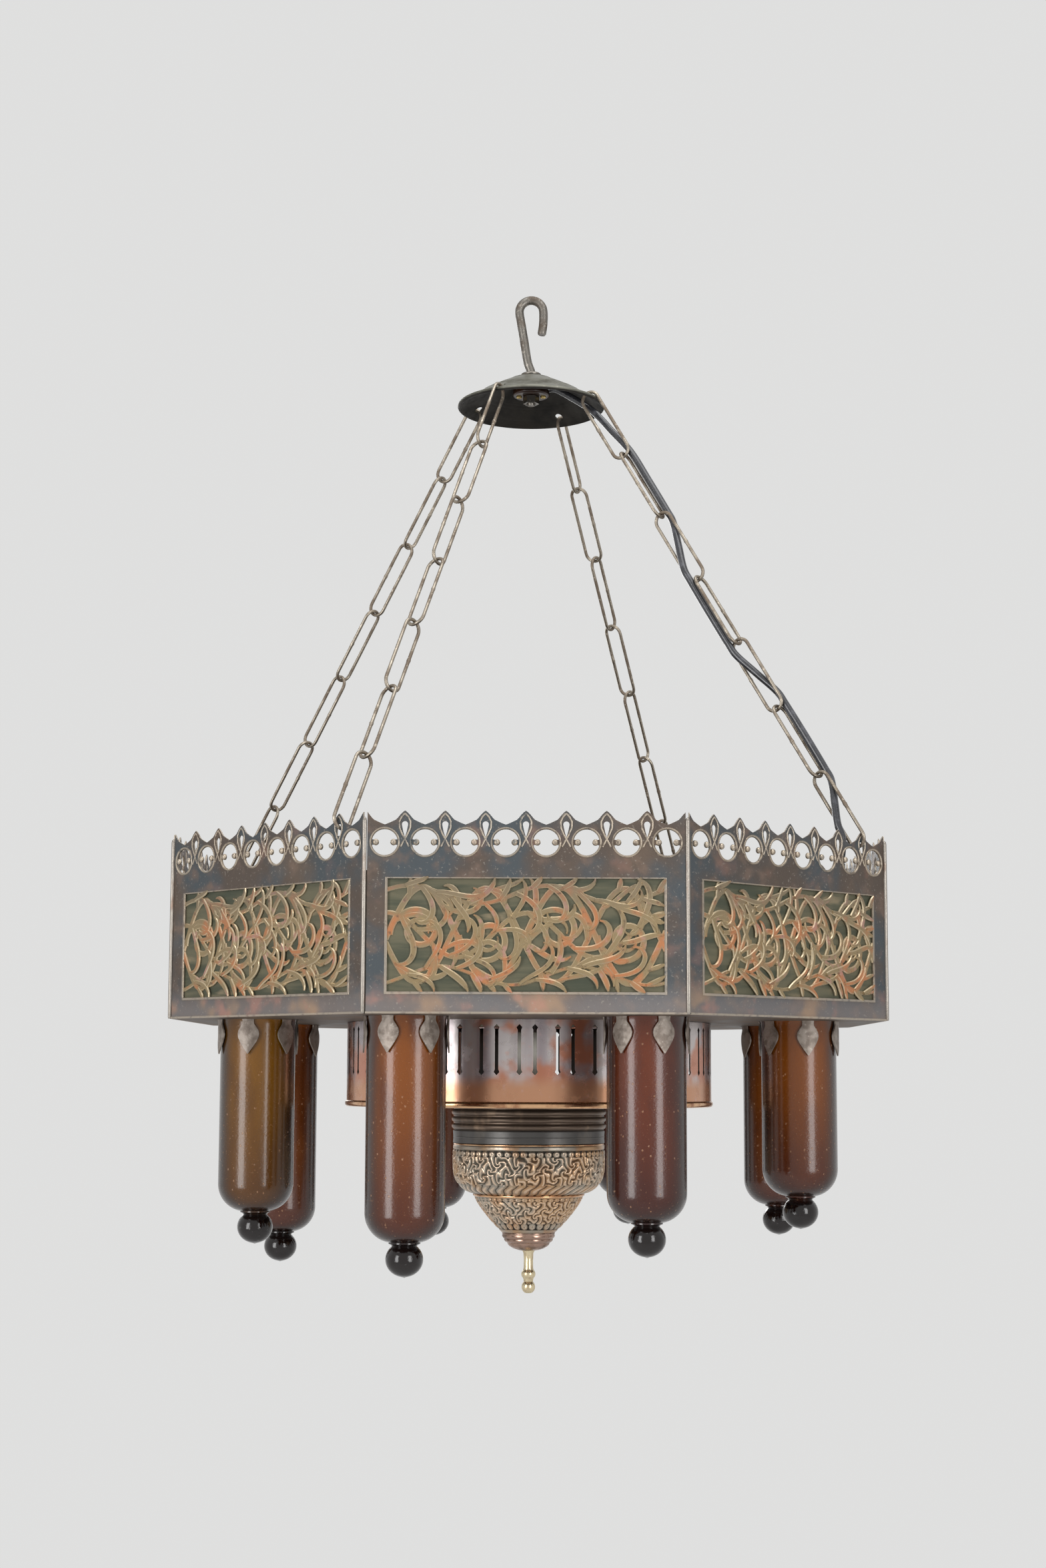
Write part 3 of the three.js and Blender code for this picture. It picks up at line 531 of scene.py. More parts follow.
def bent_hook():
    leave_x = -bend_radius * math.cos(lean)
    leave_z = bend_height - bend_radius * math.sin(lean)
    points = [[0, 564.6], [0, 580.3], [0, 596]]
    for share in (0, 0.45, 0.85):
        z = stem_top + share * (leave_z - stem_top)
        points.append([leave_x + (leave_z - z) * math.tan(lean), z])
    turn = math.pi + lean
    while turn > -0.01:
        points.append([bend_radius * math.cos(turn), bend_height + bend_radius * math.sin(turn)])
        turn -= math.pi / 8
    points += [[bend_radius, bend_height - 11], [bend_radius - 1.5, bend_height - 22]]
    line = smooth_line([point(x, 0, z) for x, z in points], 8)
    radii = [hook_wire / 2 * MM] * len(line)
    radii[0] = radii[-1] = 3.3 * MM
    return swept("hook_wire", line, radii, 24)


piece("hook_wire", bent_hook(), hook_iron, "hook", "hook")
washer_profile = [[4.4, 594.7], [9.2, 593.1], [9.4, 593.9], [8.8, 594.9], [5, 596.5], [4.4, 596.4],
                  [4.4, 594.7]]
piece("hook_washer", hung(turned("hook_washer", washer_profile, 48)), hook_iron, (), "hook")
repainted("hook_nut", hook_iron)
print("the hook's top is", bend_height + bend_radius + hook_wire // 2, "mm over the band's foot")

# %% [markdown]
# ## Canopy
# The canopy is sheet spun on a lathe: a low cone with faint tool rings, a rolled rim and four holes for the
# chains. Turning its profile gives the cone and rings, and a boolean drills the holes.


# %% Spun canopy
canopy_radius = 65.5
canopy_top = 596
canopy_rise = 32.5
drill_circle = 55.7
chain_circle = 57


def canopy_height(radius):
    share = radius / canopy_radius
    return canopy_top - canopy_rise * (share - 0.09 * math.sin(math.pi * share))


def tool_ring(radius):
    return sum(0.45 * math.exp(-((radius - at) / 0.8) ** 2) for at in (17, 20, 42, 46, 58.5))


def drilled(mesh, cutters):
    """The mesh with each cutter's shape taken out of it."""
    solid = shown_as(mesh.name, mesh)
    tools = [shown_as(cutter.name, cutter) for cutter in cutters]
    for tool in tools:
        solid.modifiers.new("hole", "BOOLEAN").object = tool
    bpy.context.view_layer.update()
    made = bpy.data.meshes.new_from_object(solid.evaluated_get(bpy.context.evaluated_depsgraph_get()))
    for gone in [solid, *tools]:
        bpy.data.objects.remove(gone)
    return smoothed(made)


pitches = 8
crest_pitch = panel_side / pitches
chain_place = 3 * crest_pitch
chain_turn = math.atan2(chain_place, panel_distance)
chain_angles = [OCTANT + chain_turn + (quarter - 1) * QUARTER for quarter in range(4)]


def spun_canopy():
    """The cone with its rim, its tool rings and its four holes; the sheet is 1.3 mm thick."""
    radii = np.linspace(63.4, 4.5, 90)
    rim = arc(canopy_radius, canopy_top - canopy_rise, 1.9, -120, 125, 14)
    over = [[r, canopy_height(r) + tool_ring(r)] for r in radii]
    under = [[r, canopy_height(r) - 1.3 + tool_ring(r) * 0.7] for r in radii[::-1]]
    cone = turned("canopy_cone", [*rim, *over, *under, rim[0]], 96)
    drills = []
    for angle in chain_angles:
        place = outward(angle) * drill_circle
        middle = (place.x * MM, place.y * MM, canopy_height(chain_circle) * MM)
        drill = turned("drill", rectangle(0, -12, 3.5, 12), 24)
        drills.append(moved(drill, Matrix.Translation(middle)))
    return hung(drilled(cone, drills))


def dull_zinc(tree):
    """Olive-grey sheet, rubbed pale on its rim, with painted shade underneath: faces that look down are
    nearly black.
    """
    # Painted shade: the more a face looks down, the nearer it turns to black, and the rougher and duller it
    # gets.
    under = 1 - tree.axis("Z", 1).between(-0.6, 0.1)
    grime = tree.cloud(22, 5).between(0.4, 0.65)
    spots = tree.cloud(3.5, 4).between(0.6, 0.68)
    sheet_colour = tree.mix(grime, "75746a", "4c4a40")
    sheet_colour = tree.mix(spots * 0.6, sheet_colour, "989488")
    colour = tree.mix(under, sheet_colour, tree.mix(grime, "2a2620", "191713"))
    return skin(colour, 0.42 + grime * 0.22 + under * 0.2, 0.7 - under * 0.5, tree.cloud(5, 4), 0.4)


zinc = finish("dull_zinc", dull_zinc)
piece("canopy_cone", spun_canopy(), zinc, "canopy")

# %% [markdown]
# ## Terminal block
# Under the canopy the flex ends in a small dark bakelite block with two brass screws. It can be seen only
# from below, so it stays simple, but its rims are rounded as every moulding's are.


# %% Terminal block
def bakelite_recipe(tree):
    marble = tree.cloud(10, 4).between(0.4, 0.65)
    return skin(tree.mix(marble, "2c1b13", "452a1b"), 0.3)


def brass_skin(light, dark):
    def recipe(tree):
        dim = tree.cloud(8, 4).between(0.45, 0.7)
        return skin(tree.mix(dim, light, dark), 0.24 + dim * 0.2, 1.0, tree.cloud(1.5, 3), 0.1)
    return recipe


bakelite = finish("bakelite", bakelite_recipe)
screw_brass = finish("screw_brass", brass_skin("c8b070", "8f7a48"))
block_profile = [[4.8, 573.9], [5.6, 573.4], *arc(15, 575.4, 2, -90, 0, 5), *arc(15.5, 583.9, 1.5, 0, 90, 5),
                 [5.6, 585.4], [4.8, 584.8], [4.8, 573.9]]
block = turned("terminal_ring", block_profile, 64)
piece("terminal_ring", hung(block), bakelite, "terminal_block")
sides = (("left", -1), ("right", 1))
for side_name, side in sides:
    head = turned("screw", [[0, 571.9], [2.2, 572.1], [2.7, 572.8], [2.7, 573.5], [0, 573.5]], 20)
    slit = sawn("slit", [rectangle(-3, -0.4, 3, 0.4)], 1)
    slit_place = Matrix.Translation((0, 0, 572 * MM)) @ Matrix.Rotation(0.6 * side, 4, "Z")
    screw = drilled(head, [moved(slit, slit_place)])
    piece(f"terminal_screw_{side_name}", hung(screw, 11 * side), screw_brass)

# %% [markdown]
# ## Chains
# Four chains of seven long links run from the canopy to slots in the crest. They are drawn tight, so each
# link lies on one straight line, turned by a steady step from its neighbour. A link is a closed wire with a
# slight lump where its ends were welded, and every link is its own piece, as on the real chain.

# %% Chain line and links
links = 7
link_wire = 3
lap = link_wire + 0.3
link_reach = 8
end_steps = 12
straight_shares = (0.3, 0.46, 0.5, 0.54, 0.7)
weld_place = end_steps + 1 + straight_shares.index(0.5)


def chain_line(angle):
    """The top end, length and three square directions of a chain: down, beside and above."""
    top = outward(angle) * chain_circle
    top.z = canopy_height(chain_circle) - 0.65
    bottom = outward(angle) * math.hypot(panel_distance - sheet / 2, chain_place)
    bottom.z = 145.05
    down = (bottom - top).normalized()
    beside = outward(angle + QUARTER)
    above = beside.cross(down).normalized()
    return top, (bottom - top).length, down, beside, above if above.z > 0 else -above


def link_line(length):
    half = length / 2 - link_reach
    points = []
    for end, start in ((1, 0), (-1, 180)):
        for x, y in arc(0, 0, link_reach, start, start + 180, end_steps):
            points.append(Vector((x, y + end * half, 0)) * MM)
        for share in straight_shares:
            points.append(Vector((-end * link_reach, end * half * (1 - 2 * share), 0)) * MM)
    return points


def link_mesh(name, length):
    line = link_line(length)
    radii = [link_wire / 2 * MM] * len(line)
    radii[weld_place] = 1.85 * MM
    return swept(name, line, radii, 12, closed=True)


chain_names = ("front", "right", "back", "left")
for order, (side_name, angle) in enumerate(zip(chain_names, chain_angles)):
    top, length, down, beside, above = chain_line(angle)
    link_length = (length + (links - 1) * lap) / links
    square = outward(OCTANT + (order - 1) * QUARTER)
    last_turn = math.atan2(square.dot(beside), square.dot(above))
    turn_step = (3 * math.pi + last_turn) / (links - 1)
    for i in range(links):
        wide = above * math.cos(i * turn_step) + beside * math.sin(i * turn_step)
        flat = wide.cross(down)
        middle = top + down * (link_length / 2 + i * (link_length - lap))
        turn = Matrix((wide, down, flat)).transposed().to_4x4()
        name = f"chain_{side_name}_link_{i + 1}"
        mesh = moved(link_mesh(name, link_length), Matrix.Translation(point(*middle)) @ turn)
        piece(f"{name}_wire", carry(mesh, "seed", order * links + i), chain_iron, name)
print("each link is", round(link_length, 1), "mm long")

# %% [markdown]
# ## Patina on copper
# The band is copper sheet that has gone slate grey and brown, with tan and rusty patches along its foot,
# pink where the copper shows, and pale edges and raised lines that are partly metal rubbed by hands and
# partly a painted highlight. The patches follow a point's height and place on its own panel, broken up by
# noise. The pale edges are found from how far the surface turns from facing out, and the raised lines from
# the relief that the mesh carries.


# %% Patina
def turned_away(tree):
    """0 on a panel's face and 1 on its bevels and edges."""
    facing = tree.axis("Z", 1)
    return 1 - facing.maths("ABSOLUTE", facing).between(0.55, 0.95)


def patina_recipe(tree):
    height = tree.axis("Y") * (1 / MM)
    slate = tree.mix(tree.cloud(55, 3).between(0.4, 0.6), "4c5256", "5a4f47")
    slate = tree.mix(tree.cloud(16, 4).between(0.5, 0.72) * 0.8, slate, "766459")
    lower = 1 - height.between(4, 30)
    tan = tree.cloud(48, 3).between(0.52, 0.68) * (lower * 0.55 + 0.08)
    pink = tree.cloud(30, 3).between(0.57, 0.71) * (lower * 0.5 + 0.24)
    colour = tree.mix(lower * 0.6, slate, "88817f")
    colour = tree.mix(tan, colour, "b59474")
    colour = tree.mix(pink * 0.8, colour, "b58475")
    speck = tree.cloud(2.2, 3).between(0.6, 0.7)
    colour = tree.mix(speck * 0.35, colour, "a9a297")
    # The pale mix on bevels and raised relief is partly rubbed metal and partly a painted highlight.
    wear_and_sheen = (turned_away(tree) * 0.7 + tree.marked("relief") * 0.55) * tree.cloud(5, 3).between(0.24, 0.5)
    colour = tree.mix(wear_and_sheen, colour, "bfb2a0")
    rough = 0.4 + tree.cloud(12, 4) * 0.25 - wear_and_sheen * 0.12
    return skin(colour, rough, 0.55 + wear_and_sheen * 0.35, tree.cloud(24, 3) + tree.cloud(1.4, 3) * 0.25, 1.2)


def scroll_recipe(tree):
    """The strokes of the openwork: pink and orange copper between pale edges, partly rubbed and partly a
    painted highlight.
    """
    height = tree.axis("Y") * (1 / MM)
    colour = tree.mix(tree.cloud(20, 2).between(0.46, 0.64), "93805f", "b67a52")
    colour = tree.mix(tree.cloud(11, 3).between(0.58, 0.68) * 0.7, colour, "b98a80")
    colour = tree.mix(height.between(70, 100) * 0.55, colour, "786d5e")
    colour = tree.mix(tree.cloud(5, 3).between(0.58, 0.7) * 0.7, colour, "5f4d3e")
    # The pale tone on the strokes' shoulders is partly rubbed metal and partly a painted highlight.
    wear_and_sheen = turned_away(tree)
    colour = tree.mix(wear_and_sheen * 0.85, colour, "d8c8aa")
    return skin(colour, 0.42 - wear_and_sheen * 0.08, 0.45 + wear_and_sheen * 0.35, tree.cloud(2.5, 3), 0.4)


def seam_recipe(tree):
    grey = tree.mix(tree.cloud(20, 4), "8f8880", "a59e95")
    stain = tree.cloud(12, 3, (1, 1, 0.3)).between(0.56, 0.66)
    return skin(tree.mix(stain * 0.8, grey, "7e6556"), 0.36, 0.8, tree.cloud(4, 3), 0.5)


patina = finish("copper_patina", patina_recipe)
scroll_copper = finish("scroll_copper", scroll_recipe)
seam_metal = finish("soldered_seam", seam_recipe)
print("band finishes:", patina.name, scroll_copper.name, seam_metal.name)

# %% [markdown]
# ## Crest of a panel
# Each panel's top is sawn into leaves over a row of round holes. A hole is pinched by two round knobs, and
# each leaf is pierced by a small drop. One pitch is drawn from measures and repeated eight times along a
# panel. Raised lines round the holes and up the leaves are thin wires half sunk in the sheet, and the knobs
# are low domes.

# %% Outline and relief of the crest
hole_height = 131.5
hole_radius = 10
knob_place = 6.8
knob_radius = 2.5
half_side = panel_side / 2
leaf = [[0, band_height], [1.5, 155], [3.6, 152.9], [5.6, 150.4], [7, 149], [9.4, 147.8], [12.4, 146.4]]
valley = 145.2


def panel_outline():
    left, right = -half_side + 2.1, half_side - 0.4
    points = [[left, 0], [right, 0]]
    for i in range(pitches, -1, -1):
        tip = -half_side + i * crest_pitch
        points += [[tip + x, y] for x, y in leaf[:0:-1]]
        points += [[tip - x, y] for x, y in leaf]
        points.append([tip - crest_pitch / 2, valley])
    return [[x, y] for x, y in points if left - 0.01 <= x <= right + 0.01] + [[left, 155]]


def crest_hole(middle):
    """A round hole with a knob on a short neck reaching in from each side."""
    right = [*arc(0, 0, hole_radius, -90, -13, 8), *arc(knob_place, 0, knob_radius, -52, -308, 12),
             *arc(0, 0, hole_radius, 13, 90, 8)]
    return set_at(mirrored(right), middle, hole_height)


def leaf_drop(middle):
    over = arc(0, 145.4, 2.4, 200, -20, 8)
    return set_at([*over, [1.2, 139.4], [0, 135.5], [-1.2, 139.4]], middle)


def cord(name, points, thick=0.6, closed=False):
    """A raised line on the front of a sheet: a thin wire half sunk in it."""
    line = [Vector((x * MM, y * MM, sheet / 2 * MM)) for x, y in points]
    return swept(name, line, thick * MM, 6, closed)


def dome(name, x, y, radius, rise):
    profile = [[radius * math.cos(a), rise * math.sin(a)] for a in np.linspace(0, math.pi / 2, 6)]
    profile[-1][0] = 0
    return moved(turned(name, profile, 16), Matrix.Translation((x * MM, y * MM, sheet / 2 * MM)))


def crest_relief():
    """Raised rings round the holes, knobs in them and the outline of each leaf."""
    made = []
    for i in range(pitches):
        middle = -half_side + (i + 0.5) * crest_pitch
        ring = arc(middle, hole_height, hole_radius + 1.1, 0, 348, 29)
        made.append(cord("ring", ring, 0.85, True))
        for side in (-1, 1):
            made.append(dome("knob", middle + side * knob_place, hole_height, knob_radius - 0.1, 2.0))
    half = [[0, 153.8], [2.6, 151], [4.3, 147.4], [4.1, 142.6], [2.0, 137.6], [-0.8, 132.6], [-3.2, 128]]
    for i in range(1, pitches):
        tip = -half_side + i * crest_pitch
        for side in (-1, 1):
            made.append(cord("leaf_line", [[tip + side * x, y] for x, y in half], 0.75))
    return made


print("crest:", len(panel_outline()), "points round a panel")

# %% [markdown]
# ## Openwork of a window
# Behind the frame of each window runs a dense scroll of vine. Five wavy stems cross again and again, a curl
# winds into each hollow between them, and tendrils leave the stems on alternate sides and curl ever
# tighter. A stroke is a flat wire with rounded shoulders that is swept along a line, and where two cross,
# one lies a hair above the other. The lengths and turns are left to chance, which always starts at the same
# place, so each run gives the same scroll.

# %% Vine scroll
window = (-106, 106, 17, 103.4)
window_middle = (window[2] + window[3]) / 2
half_wave = 53
stem_points = 72
lowest_level = -0.4
level_step = 0.016
stroke_section = ((-1, -0.8), (-1, 0), (-0.6, 0.8), (0.6, 0.8), (1, 0), (1, -0.8))


def stroke_mesh(line, widths, level):
    """A flat stroke with rounded shoulders along a line of [x, y] points, rising a little towards its end."""
    points, faces = [], []
    for i, ((x, y), width) in enumerate(zip(line, widths)):
        before, after = line[max(i - 1, 0)], line[min(i + 1, len(line) - 1)]
        length = math.hypot(after[0] - before[0], after[1] - before[1])
        across = np.array([before[1] - after[1], after[0] - before[0]]) / length * width / 2
        for side, height in stroke_section:
            up = level + height + 0.3 * i / len(line)
            points.append(((x + across[0] * side) * MM, (y + across[1] * side) * MM, up * MM))
    around = len(stroke_section)
    rings = in_rings(points, around)
    for low, high in zip(rings, rings[1:]):
        for k in range(around):
            m = (k + 1) % around
            faces.append([low[k], high[k], high[m], low[m]])
    faces += [rings[0], rings[-1][::-1]]
    return to_mesh("stroke", points, faces, 30)


def inside_window(x, y, reach=1.6):
    return window[0] - reach < x < window[1] + reach and window[2] - reach < y < window[3] + reach


def stem(swing, shift, lift=0):
    """A wavy line from one side of the window to the other, this far above its middle."""
    places = np.linspace(window[0] - 1.5, window[1] + 1.5, stem_points)
    return [[x, window_middle + lift + swing * math.sin(math.pi * (x + shift) / half_wave)] for x in places]


def tendril(x, y, heading, length, bends, side):
    """A line that leaves a place under a heading; its bend per millimetre goes from one rate to another."""
    line = [[x, y]]
    steps = max(14, int(length / 2.2))
    for i in range(steps):
        heading += side * (bends[0] + (bends[1] - bends[0]) * (i / steps) ** 1.4) * length / steps
        x += math.cos(heading) * length / steps
        y += math.sin(heading) * length / steps
        if not inside_window(x, y):
            break
        line.append([x, y])
    return line


def leafy(line, widest):
    """Widths that swell past the middle of a line and end in a blunt point."""
    shares = [i / (len(line) - 1) for i in range(len(line))]
    return [(0.75 + 0.25 * math.sin(math.pi * s)) * widest * (1 - 0.6 * s ** 9) for s in shares]


def vine():
    """The stems, then a curl in each hollow, then the tendrils, each on a level of its own."""
    chance = random.Random(11)
    stems = [stem(37, 0), stem(-36, 4), stem(17, 26), stem(7, 10, 31), stem(-7, 38, -31)]
    made = []
    for k, line in enumerate(stems):
        made.append(stroke_mesh(line, [4.8 - 0.4 * k] * stem_points, lowest_level + 0.02 * k))

    def add(curl, widest):
        made.append(stroke_mesh(curl, leafy(curl, widest), lowest_level + level_step * len(made)))

    for hollow in range(4):
        flip = -1 if hollow % 2 == 0 else 1
        x = (hollow - 1.5) * half_wave - 24
        add(tendril(x, window_middle, -flip * QUARTER, 118, (0.045, 0.135), flip), 5)
    for number, line in enumerate(stems):
        for turn, i in enumerate(range(2 + number, stem_points - 2, 4)):
            (ax, ay), (bx, by) = line[i - 1], line[i + 1]
            side = 1 if (turn + number) % 2 else -1
            heading = math.atan2(by - ay, bx - ax) + side * chance.uniform(0.35, 0.8)
            length = chance.uniform(26, 50)
            bends = (chance.uniform(-0.04, 0.02), chance.uniform(0.08, 0.19))
            curl = tendril(*line[i], heading, length, bends, side)
            if len(curl) > 3:
                add(curl, chance.uniform(3.6, 5))
    return joined("scroll", made, 30)


scroll = vine()
print("a window's scroll has", len(scroll.polygons), "faces")

# %% [markdown]
# ## Panels
# A panel is one sheet with its crest, its drops, its holes and its window, plus the framing bead round the
# window, the rolled foot and the relief. The panels at the chains have a slit for the last link. All eight
# are placed by one matrix that stands a flat drawing upright at a compass angle.


# %% Standing the panels up
def standing(angle, distance):
    """Stands a drawing up: its X goes along the panel, its Y up and its Z out."""
    out = outward(angle)
    turn = Matrix((outward(angle + QUARTER), Vector((0, 0, 1)), out)).transposed().to_4x4()
    return Matrix.Translation(Vector((0, 0, band_foot)) + out * distance * MM) @ turn


def panel_mesh(name, takes_chain):
    x0, x1, y0, y1 = window
    opening = rectangle(x0, y0, x1, y1)
    bead = sawn("bead", [rectangle(x0 - 2.2, y0 - 2.2, x1 + 2.2, y1 + 1.2), opening], 1.5, 0.6)
    holes = [crest_hole(-half_side + (i + 0.5) * crest_pitch) for i in range(pitches)]
    tips = range(1, pitches - 1) if takes_chain else range(1, pitches)
    drops = [leaf_drop(-half_side + i * crest_pitch) for i in tips]
    if takes_chain:
        drops.append(set_at(rectangle(-2.2, 138.5, 2.2, 147.5), chain_place))
    sheet_part = sawn("sheet", [panel_outline(), *holes, *drops, opening], sheet, 0.3)
    moved(bead, Matrix.Translation((0, 0, 0.45 * MM)))
    foot = cord("foot", [[-half_side + 2, 1.0], [half_side - 1, 1.0]], 0.9)
    whole = joined(name, [sheet_part, bead, foot, *crest_relief()])
    raised = [min(max(v.co.z / MM - sheet / 2, 0) / 0.5, 1) for v in whole.vertices]
    return carry(whole, "relief", raised)


seam_heights = (0.2, 1.2, 20, 60, 100, 130, 148, 150, 151)
seam_radii = [r * MM for r in (1.2, 1.6, 1.75, 1.65, 1.8, 1.7, 1.75, 1.3, 0.4)]
for i in range(8):
    name = f"panel_{i + 1}"
    place = standing(i * OCTANT, panel_distance - sheet / 2)
    takes_chain = i % 2 == 1
    mesh = carry(panel_mesh(f"{name}_sheet", takes_chain), "seed", i * 3.7)
    piece(f"{name}_sheet", mesh, patina, name, place=place)
    own_scroll = carry(scroll.copy(), "seed", i * 2.9)
    piece(f"{name}_scroll", own_scroll, scroll_copper, place=place)
    corner = outward((i + 0.5) * OCTANT) * panel_distance / math.cos(OCTANT / 2)
    seam = swept(f"{name}_seam", [point(corner.x, corner.y, h) for h in seam_heights], seam_radii, 14)
    piece(f"{name}_seam", carry(seam, "seed", i), seam_metal)
print("eight panels, each with", len(mesh.polygons), "faces in its sheet")

# %% [markdown]
# ## Lining
# Behind the windows stands a strip of sheet with old dark green paint, streaked along its length. Its plain
# solid is already right, so it only gets a finish.


# %% Painted lining
def green_recipe(tree):
    streaks = tree.cloud(9, 4, (0.12, 0.12, 1))
    paint = tree.mix(streaks.between(0.35, 0.65), "3f4435", "67634e")
    bare = tree.cloud(14, 4, (0.25, 0.25, 1)).between(0.6, 0.7)
    return skin(tree.mix(bare, paint, "84785f"), 0.5 + streaks * 0.2, 0.2, streaks, 0.4)


green_paint = finish("green_paint", green_recipe)
repainted("lining", green_paint)
print("lining wears", green_paint.name)

# %% [markdown]
# ## Floor plate and claws
# The floor of the band is sheet with a round hole for each glass and a wide opening over the drum. Six
# leaf-shaped claws hang round each hole and hug the glass. A claw is drawn as a half width for each height
# and rolled round the tube of the glass.

# %% Floor plate
glass_circle = 248
hole_edge = 34
claw_out = 33.9
claw_in = 32.8


def ring_of(radius, corners, x=0, y=0, turn=0.0):
    angles = [turn + CIRCLE * i / corners for i in range(corners)]
    return [[x + radius * math.cos(a), y + radius * math.sin(a)] for a in angles]


def dark_sheet_recipe(tree):
    stain = tree.cloud(30, 4).between(0.4, 0.62)
    colour = tree.mix(stain, "4d443c", "6e5f52")
    return skin(colour, 0.5 + stain * 0.15, 0.6, tree.cloud(10, 4), 0.6)


def claw_recipe(tree):
    smear = tree.cloud(7, 4).between(0.42, 0.62)
    colour = tree.mix(smear, "9a8f85", "766a60")
    colour = tree.mix(tree.cloud(3, 3).between(0.6, 0.7) * 0.7, colour, "b4aba0")
    return skin(colour, 0.46, 0.4, tree.cloud(2.5, 3), 0.4)


dark_sheet = finish("dark_sheet", dark_sheet_recipe)
claw_metal = finish("claw_metal", claw_recipe)
plate_reach = panel_distance - sheet - 0.3
opening_reach = 150
to_corner = 1 / math.cos(OCTANT / 2)
glass_places = [outward((i + 0.5) * OCTANT) * glass_circle for i in range(8)]
plate_holes = [ring_of(hole_edge, 48, place.x, place.y) for place in glass_places]
octagons = [ring_of(reach * to_corner, 8, turn=OCTANT / 2) for reach in (plate_reach, opening_reach)]
plate = sawn("floor_sheet", [*octagons, *plate_holes], sheet, 0.25)
piece("floor_sheet", hung(plate, 0, 0, sheet / 2), dark_sheet, "floor_plate")


def claw_mesh():
    """One claw in front of the origin, its back to the glass, from its half width at each depth."""
    depths = np.array([-0.2, 1.5, 4, 6.5, 9.5, 12.5, 15.5, 18.5, 21.5, 24.5, 27, 28.9])
    halves = np.array([5.2, 4.9, 5, 6.8, 8.7, 9.3, 8.8, 7.3, 5.4, 3.4, 1.6, 0.25])
    lifts = np.interp(depths, [0, 4, 15, 28.9], [0.5, 0.1, 0, 0.5])
    shares = np.linspace(-1, 1, 9)
    points = []
    for depth, half, lift in zip(depths, halves, lifts):
        for radius, run in ((claw_out + lift, shares), (claw_in + lift, shares[::-1])):
            for share in run:
                turn = half * share / radius
                points.append((radius * MM * math.sin(turn), -radius * MM * math.cos(turn), -depth * MM))
    rings = in_rings(points, 2 * len(shares))
    faces = bands(rings[::-1])
    for ring, turn in ((rings[0], 1), (rings[-1], -1)):
        faces += [[ring[k], ring[k + 1], ring[-2 - k], ring[-1 - k]][::turn] for k in range(len(shares) - 1)]
    return to_mesh("claw", points, faces, 50)


for i, place in enumerate(glass_places):
    claws = []
    for claw in range(6):
        turn = Matrix.Rotation((i + 0.5) * OCTANT + claw * math.pi / 3, 4, "Z")
        claws.append(moved(claw_mesh(), Matrix.Translation(point(place.x, place.y, 0)) @ turn))
    piece(f"claws_{i + 1}", carry(joined(f"claws_{i + 1}", claws, 50), "seed", i), claw_metal)
print("48 claws in", len(glass_places), "rings")

# %% [markdown]
# ## Glass vessels
# Eight amber tubes of eight lengths hang through the floor by their flared lips. Each ends in a rounded
# foot and a solid ball. They are old soda glass, full of seeds and stained inside, so light goes through
# them only in part: the surface is clear glass over amber, and its colour darkens towards the foot. Two
# tubes are plum brown and one is an olive gold.

# %% Blown glass
glass_drops = [187.5, 173, 190, 189, 201, 216, 187, 203.5]
glass_radius = 31.5
ball_lift = 14.2
neck_lift = 27
foot_round = 23


def glass_recipe(light, deep):
    """Brown glass, amber where one looks straight through it, with painted shade along its sides, and dark in
    its ball.
    """
    def recipe(tree):
        share = tree.marked("depth")
        side = tree.node("ShaderNodeLayerWeight", {}, {"Blend": 0.5}, 1)
        colour = tree.mix(share.between(0.15, 0.9), light, deep)
        colour = tree.mix(tree.cloud(26, 4, (1, 1, 0.35)).between(0.42, 0.66) * 0.6, colour, deep)
        # Painted shade: the further the surface turns from the eye, the nearer it gets to dark brown.
        colour = tree.mix(side.between(0.08, 0.62) * 0.92, colour, "1f0e07")
        seeds = 1 - tree.grains(5.5, (1, 1, 0.7)).between(0.05, 0.16)
        dust = tree.cloud(2.2, 4).between(0.62, 0.72) * share.between(0.1, 0.3)
        colour = tree.mix(seeds * 0.45 + dust * 0.2, colour, "d9a276")
        ball = share.between(0.84, 0.875)
        colour = tree.mix(ball, colour, "120806")
        bumps = seeds + tree.cloud(9, 3) * 0.6 + tree.cloud(2, 3) * 0.7
        return skin(colour, 0.26 + dust * 0.15 - ball * 0.2, 0.0, bumps, 0.5)
    return recipe


glass_skin = {"IOR": 1.5, "Transmission_Weight": 0.12, "Specular_IOR_Level": 0.3, "Coat_Weight": 0.45,
              "Coat_Roughness": 0.12}
brown = finish("brown_glass", glass_recipe("8b4a0c", "4e1f0a"), **glass_skin)
plum = finish("plum_glass", glass_recipe("6e3013", "3e150a"), **glass_skin)
olive = finish("olive_glass", glass_recipe("885803", "563103"), **glass_skin)
glass_of = [plum, brown, brown, plum, brown, brown, olive, brown]


def vessel(name, drop):
    ball = -drop + ball_lift
    foot = -drop + neck_lift
    outside = [[0, -drop]]
    outside += [[14.9 * math.cos(a), ball + 13.6 * math.sin(a)] for a in np.radians(np.linspace(-80, 48, 18))]
    outside += [[10.6, ball + 11.2], [12.6, foot - 0.6]]
    outside += arc(glass_radius - foot_round, foot + foot_round, foot_round, -80, 0, 16)
    outside += [[glass_radius, height] for height in (foot + 40, -30, -4)]
    outside += [[31.9, -0.5], [32.9, 1.7], [34.6, 3.6], [36.2, 6.6], [37.1, 10]]
    outside += arc(36.5, 12.8, 0.8, 0, 180, 5)
    inside = [[35.3, 10.2], [33.6, 5.4], [30.9, 2.0], [29.3, -1.5], [29.1, -30], [29.1, foot + 34],
              *arc(8.5, foot + 23.6, 20.6, 0, -85, 10), [0, foot + 3]]
    mesh = turned(name, [*outside, *inside], 72, 60)
    depths = [min(max(-(v.co.z / MM) / drop, 0), 1) for v in mesh.vertices]
    return carry(mesh, "depth", depths)


